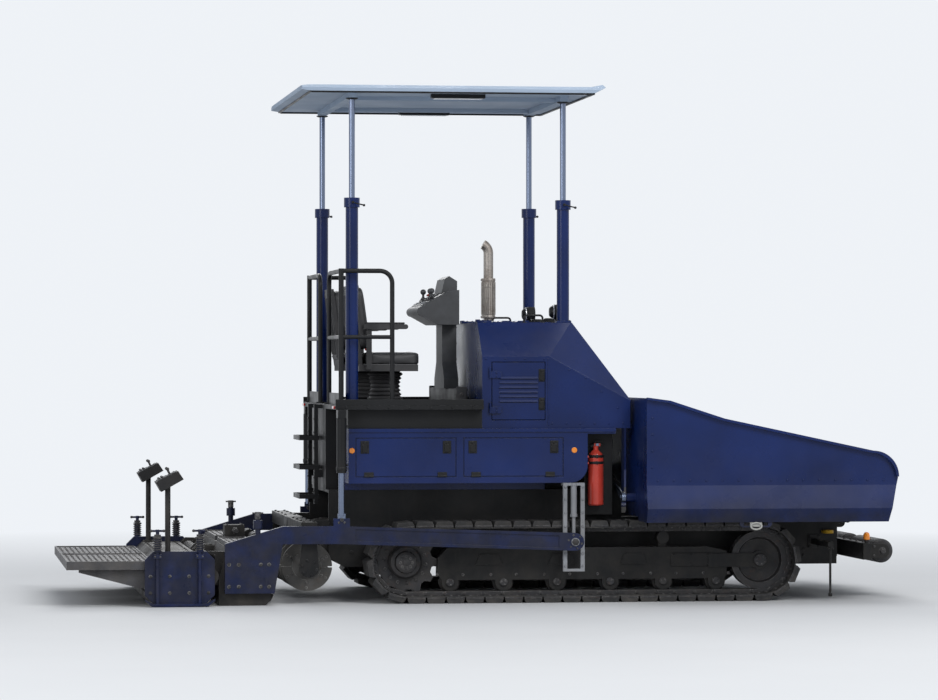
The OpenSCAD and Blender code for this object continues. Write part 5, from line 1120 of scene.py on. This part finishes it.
def sewing(mesh, length, width, thick, corner):
    """Places of the piping round the face's edge, and of the stitches beside the sewn lines, on the pad's surface."""
    tree = BVHTree.FromPolygons([v.co for v in mesh.vertices], [tuple(p.vertices) for p in mesh.polygons])
    cord = [tree.find_nearest(Vector((u, v, thick - 0.02)))[0]
            for u, v in rounded_outline(length - 0.01, width - 0.01, corner, 10)]
    stitches, gap = [], 0.0095
    for a, b in seam_lines(length, width):
        a, b = Vector((*a, 0)), Vector((*b, 0))
        along = (b - a).normalized()
        side = Vector((-along.y, along.x, 0))
        for i in range(int((b - a).length / gap)):
            for edge in (-0.0075, 0.0075):
                place, face = tree.ray_cast(a + along * (gap * (i + 0.5)) + side * edge + Z * 0.5, -Z)[:2]
                if place is not None:
                    stitches.append((place, along, face))
    return cord, stitches


def pads():
    """Both seats' pads from one simulation of each kind, with piping and stitches laid on their surface."""
    lean = atan2(80, 580)
    tall = 0.468 / cos(lean)
    up, out = Vector((-sin(lean), 0, cos(lean))), Vector((cos(lean), 0, sin(lean)))
    stitch = chamfered((0.0062, 0.0012, 0.0012), 0.0004)
    for kind, *size in (("seat_pad", 0.42, 0.46, 0.0997, 0.055), ("back_pad", tall, 0.44, 0.0875, 0.06)):
        mesh = sewn_pad(kind, *size)
        cord, stitches = sewing(mesh, *size)
        for side, s in SIDES:
            if kind == "seat_pad":
                place = at((SEAT_X + 0.03, s * SEAT_Y, DECK_Z + 0.3003))
            else:
                foot = Vector((SEAT_X - 0.2036, s * SEAT_Y, DECK_Z + 0.402))
                place = at(foot + up * (tall / 2)) @ basis(up, -Y, out)
            shape = mesh.copy()
            shape.transform(place)
            pad = shown(f"{kind}_{side}", shape, "seat_vinyl", "tractor")
            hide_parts("seat_cushions")
            trim = Piece(f"{kind}_piping_{side}", "seat_plastic", smooth=60)
            trim.add(tube([place @ p for p in cord], 0.0035, 8, True))
            thread = Piece(f"{kind}_stitches_{side}", "guide_grey", finish="seam_thread")
            for spot, along, face in stitches:
                thread.add(stitch, place @ at(spot) @ basis(along, face.cross(along).normalized(), face))
        bpy.data.meshes.remove(mesh)


def seat_frame(side, s):
    here = Vector((SEAT_X, s * SEAT_Y, DECK_Z))
    profile = [(0, 0.034)]
    for i in range(7):
        z = 0.036 + i * 0.03
        wide = 0.125 - 0.03 * sin(pi * (i + 0.5) / 7) * 0.8
        profile += [(wide, z), (wide + 0.013, z + 0.012), (wide, z + 0.026)]
    Piece("seat_bellows_" + side, "seat_plastic", smooth=50).add(turned([*profile, (0, 0.246)], 36), at(here))
    levers = Piece("seat_adjusters_" + side, "seat_plastic")
    levers.bar(here + Vector((0.1, 0.21, 0.262)), here + Vector((0.1, 0.245, 0.262)), 0.009)
    levers.block((0.095, 0.012, 0.022), 0.005, at(here + Vector((0.135, 0.247, 0.262))))
    levers.add(turned([(0.026, 0), (0.03, 0.006), (0.03, 0.018), (0.024, 0.024)], 24),
               aim(here + Vector((-0.19, 0.221, 0.33)), Y))
    rails = Piece("seat_slide_rails_" + side, "cast_steel")
    for face in (-1, 1):
        levers.block((0.3, 0.04, 0.014), 0.006, at(here + Vector((-0.035, face * 0.261, 0.6035))))
        y = here.y + face * 0.13
        rails.box((here.x - 0.19, here.x + 0.19), (y - 0.012, y + 0.012), (DECK_Z, DECK_Z + 0.012))
        rails.bolts([here + Vector((x, face * 0.13, 0.03)) for x in (-0.15, 0.15)], Z, 0.007)
    shell = Piece("seat_back_shells_" + side, "seat_plastic")
    rear = at(here + Vector((-0.2637, 0, 0.595))) @ spin(-atan2(75, 590), "Y")
    shell.block((0.012, 0.36, 0.52), 0.005, rear)
    for y in spread(-0.13, 0.13, 5):
        shell.block((0.01, 0.014, 0.44), 0.004, rear, (-0.008, y, 0))
    for y in (-0.162, 0.162):
        for z in (-0.235, 0.235):
            shell.add(bolt(0.007), rear @ aim((-0.0055, y, z), -X))
    buckle = Piece("seat_belt_buckles_" + side, "extinguisher_red")
    buckle.box((here.x - 0.176, here.x - 0.152), (here.y - 0.216, here.y - 0.206), (DECK_Z + 0.402, DECK_Z + 0.418))


for each_side, sign in SIDES:
    for details in (track, wing, hood_side, box_side, tow_guide, cylinders, auger, conveyor_chain, tow_arm, extension,
                    seat_frame):
        details(each_side, sign)
for details in (hopper, hood, extinguisher, steering_pointer, platform, console, roof, screed, push_beam, pads):
    details()
for part in PIECES:
    part.make()


# Stage, light and camera

SKY = (0.86, 0.89, 0.93)
# Name, place, size in metres, watts and height of the target on the machine's middle line
LAMPS = (("key", (5.0, -11.0, 9.5), 6.0, 900.0, 1.2), ("fill", (-9.0, -9.0, 5.0), 6.0, 310.0, 1.2),
         ("back", (0.0, 11.0, 8.0), 7.0, 480.0, 1.6), ("top", (0.0, 0.0, 11.0), 8.0, 330.0, 0.0))


def stood(name, data, place, target):
    """Lamp or camera at a place, turned to a target."""
    holder = bpy.data.objects.new(name, data)
    SCENE.collection.objects.link(holder)
    holder.location = place
    holder.rotation_euler = (Vector(target) - Vector(place)).to_track_quat("-Z", "Y").to_euler()
    return holder


def show_sky(s, share, plain, sky, output):
    """Rays that look, reflect or shine through see the sky, by a share. The others see the plain shader."""
    rays = s.node("ShaderNodeLightPath").outputs
    seen = s.most(s.most(rays["Is Camera Ray"], rays["Is Glossy Ray"]), rays["Is Transmission Ray"])
    blend = s.node("ShaderNodeMixShader", {0: s.times(seen, share) if share else seen, 1: plain, 2: sky.outputs[0]})
    s.put(s.tree.nodes[output].inputs[0], blend.outputs[0])


def studio():
    """Pale floor that fades into the backdrop, soft lamps and a plain world."""
    bpy.ops.mesh.primitive_plane_add(size=160.0, location=(0.0, 0.0, 0.0))
    floor = bpy.context.object
    floor.name = "studio_floor"
    s = surface("studio_floor")
    s.set(Base_Color=s.mix(s.cloud(0.8, 4.0), (0.625, 0.63, 0.635), (0.645, 0.65, 0.655)), Roughness=0.85)
    s.bump(s.noise(30.0), 0.002, strength=0.3)
    far = s.ramp(s.node("ShaderNodeVectorMath", {0: s.place}, operation="LENGTH").outputs["Value"], 4.5, 12.0)
    glow = s.node("ShaderNodeEmission", {"Color": SKY, "Strength": 1.0})
    show_sky(s, far, s.tree.nodes["Principled BSDF"].outputs[0], glow, "Material Output")
    floor.data.materials.append(s.owner)
    SCENE.world = bpy.data.worlds.new("studio_world")
    s = Shader(SCENE.world)
    back = s.tree.nodes["Background"]
    s.put(back.inputs[0], (0.8, 0.86, 0.95))
    s.put(back.inputs[1], 0.42)
    show_sky(s, None, back.outputs[0], s.node("ShaderNodeBackground", {0: SKY}), "World Output")
    for name, place, size, watts, target_z in LAMPS:
        lamp = bpy.data.lights.new(name, "AREA")
        lamp.shape, lamp.size, lamp.energy = "DISK", size, watts
        stood(name, lamp, place, (0.0, 0.0, target_z))


def camera():
    """The photograph looks at the machine's right side from eye height, with its front to the right."""
    azimuth, away, eye_z, look_z, shown_width = radians(-8.0), 30.0, 1.75, 1.86, 7.15
    lens = bpy.data.cameras.new("camera")
    lens.sensor_width = 36.0
    lens.lens = lens.sensor_width * away / shown_width
    SCENE.camera = stood("camera", lens, (sin(azimuth) * away, -cos(azimuth) * away, eye_z), (0.0, 0.0, look_z))


studio()
camera()
SCENE.view_settings.view_transform = "Standard"
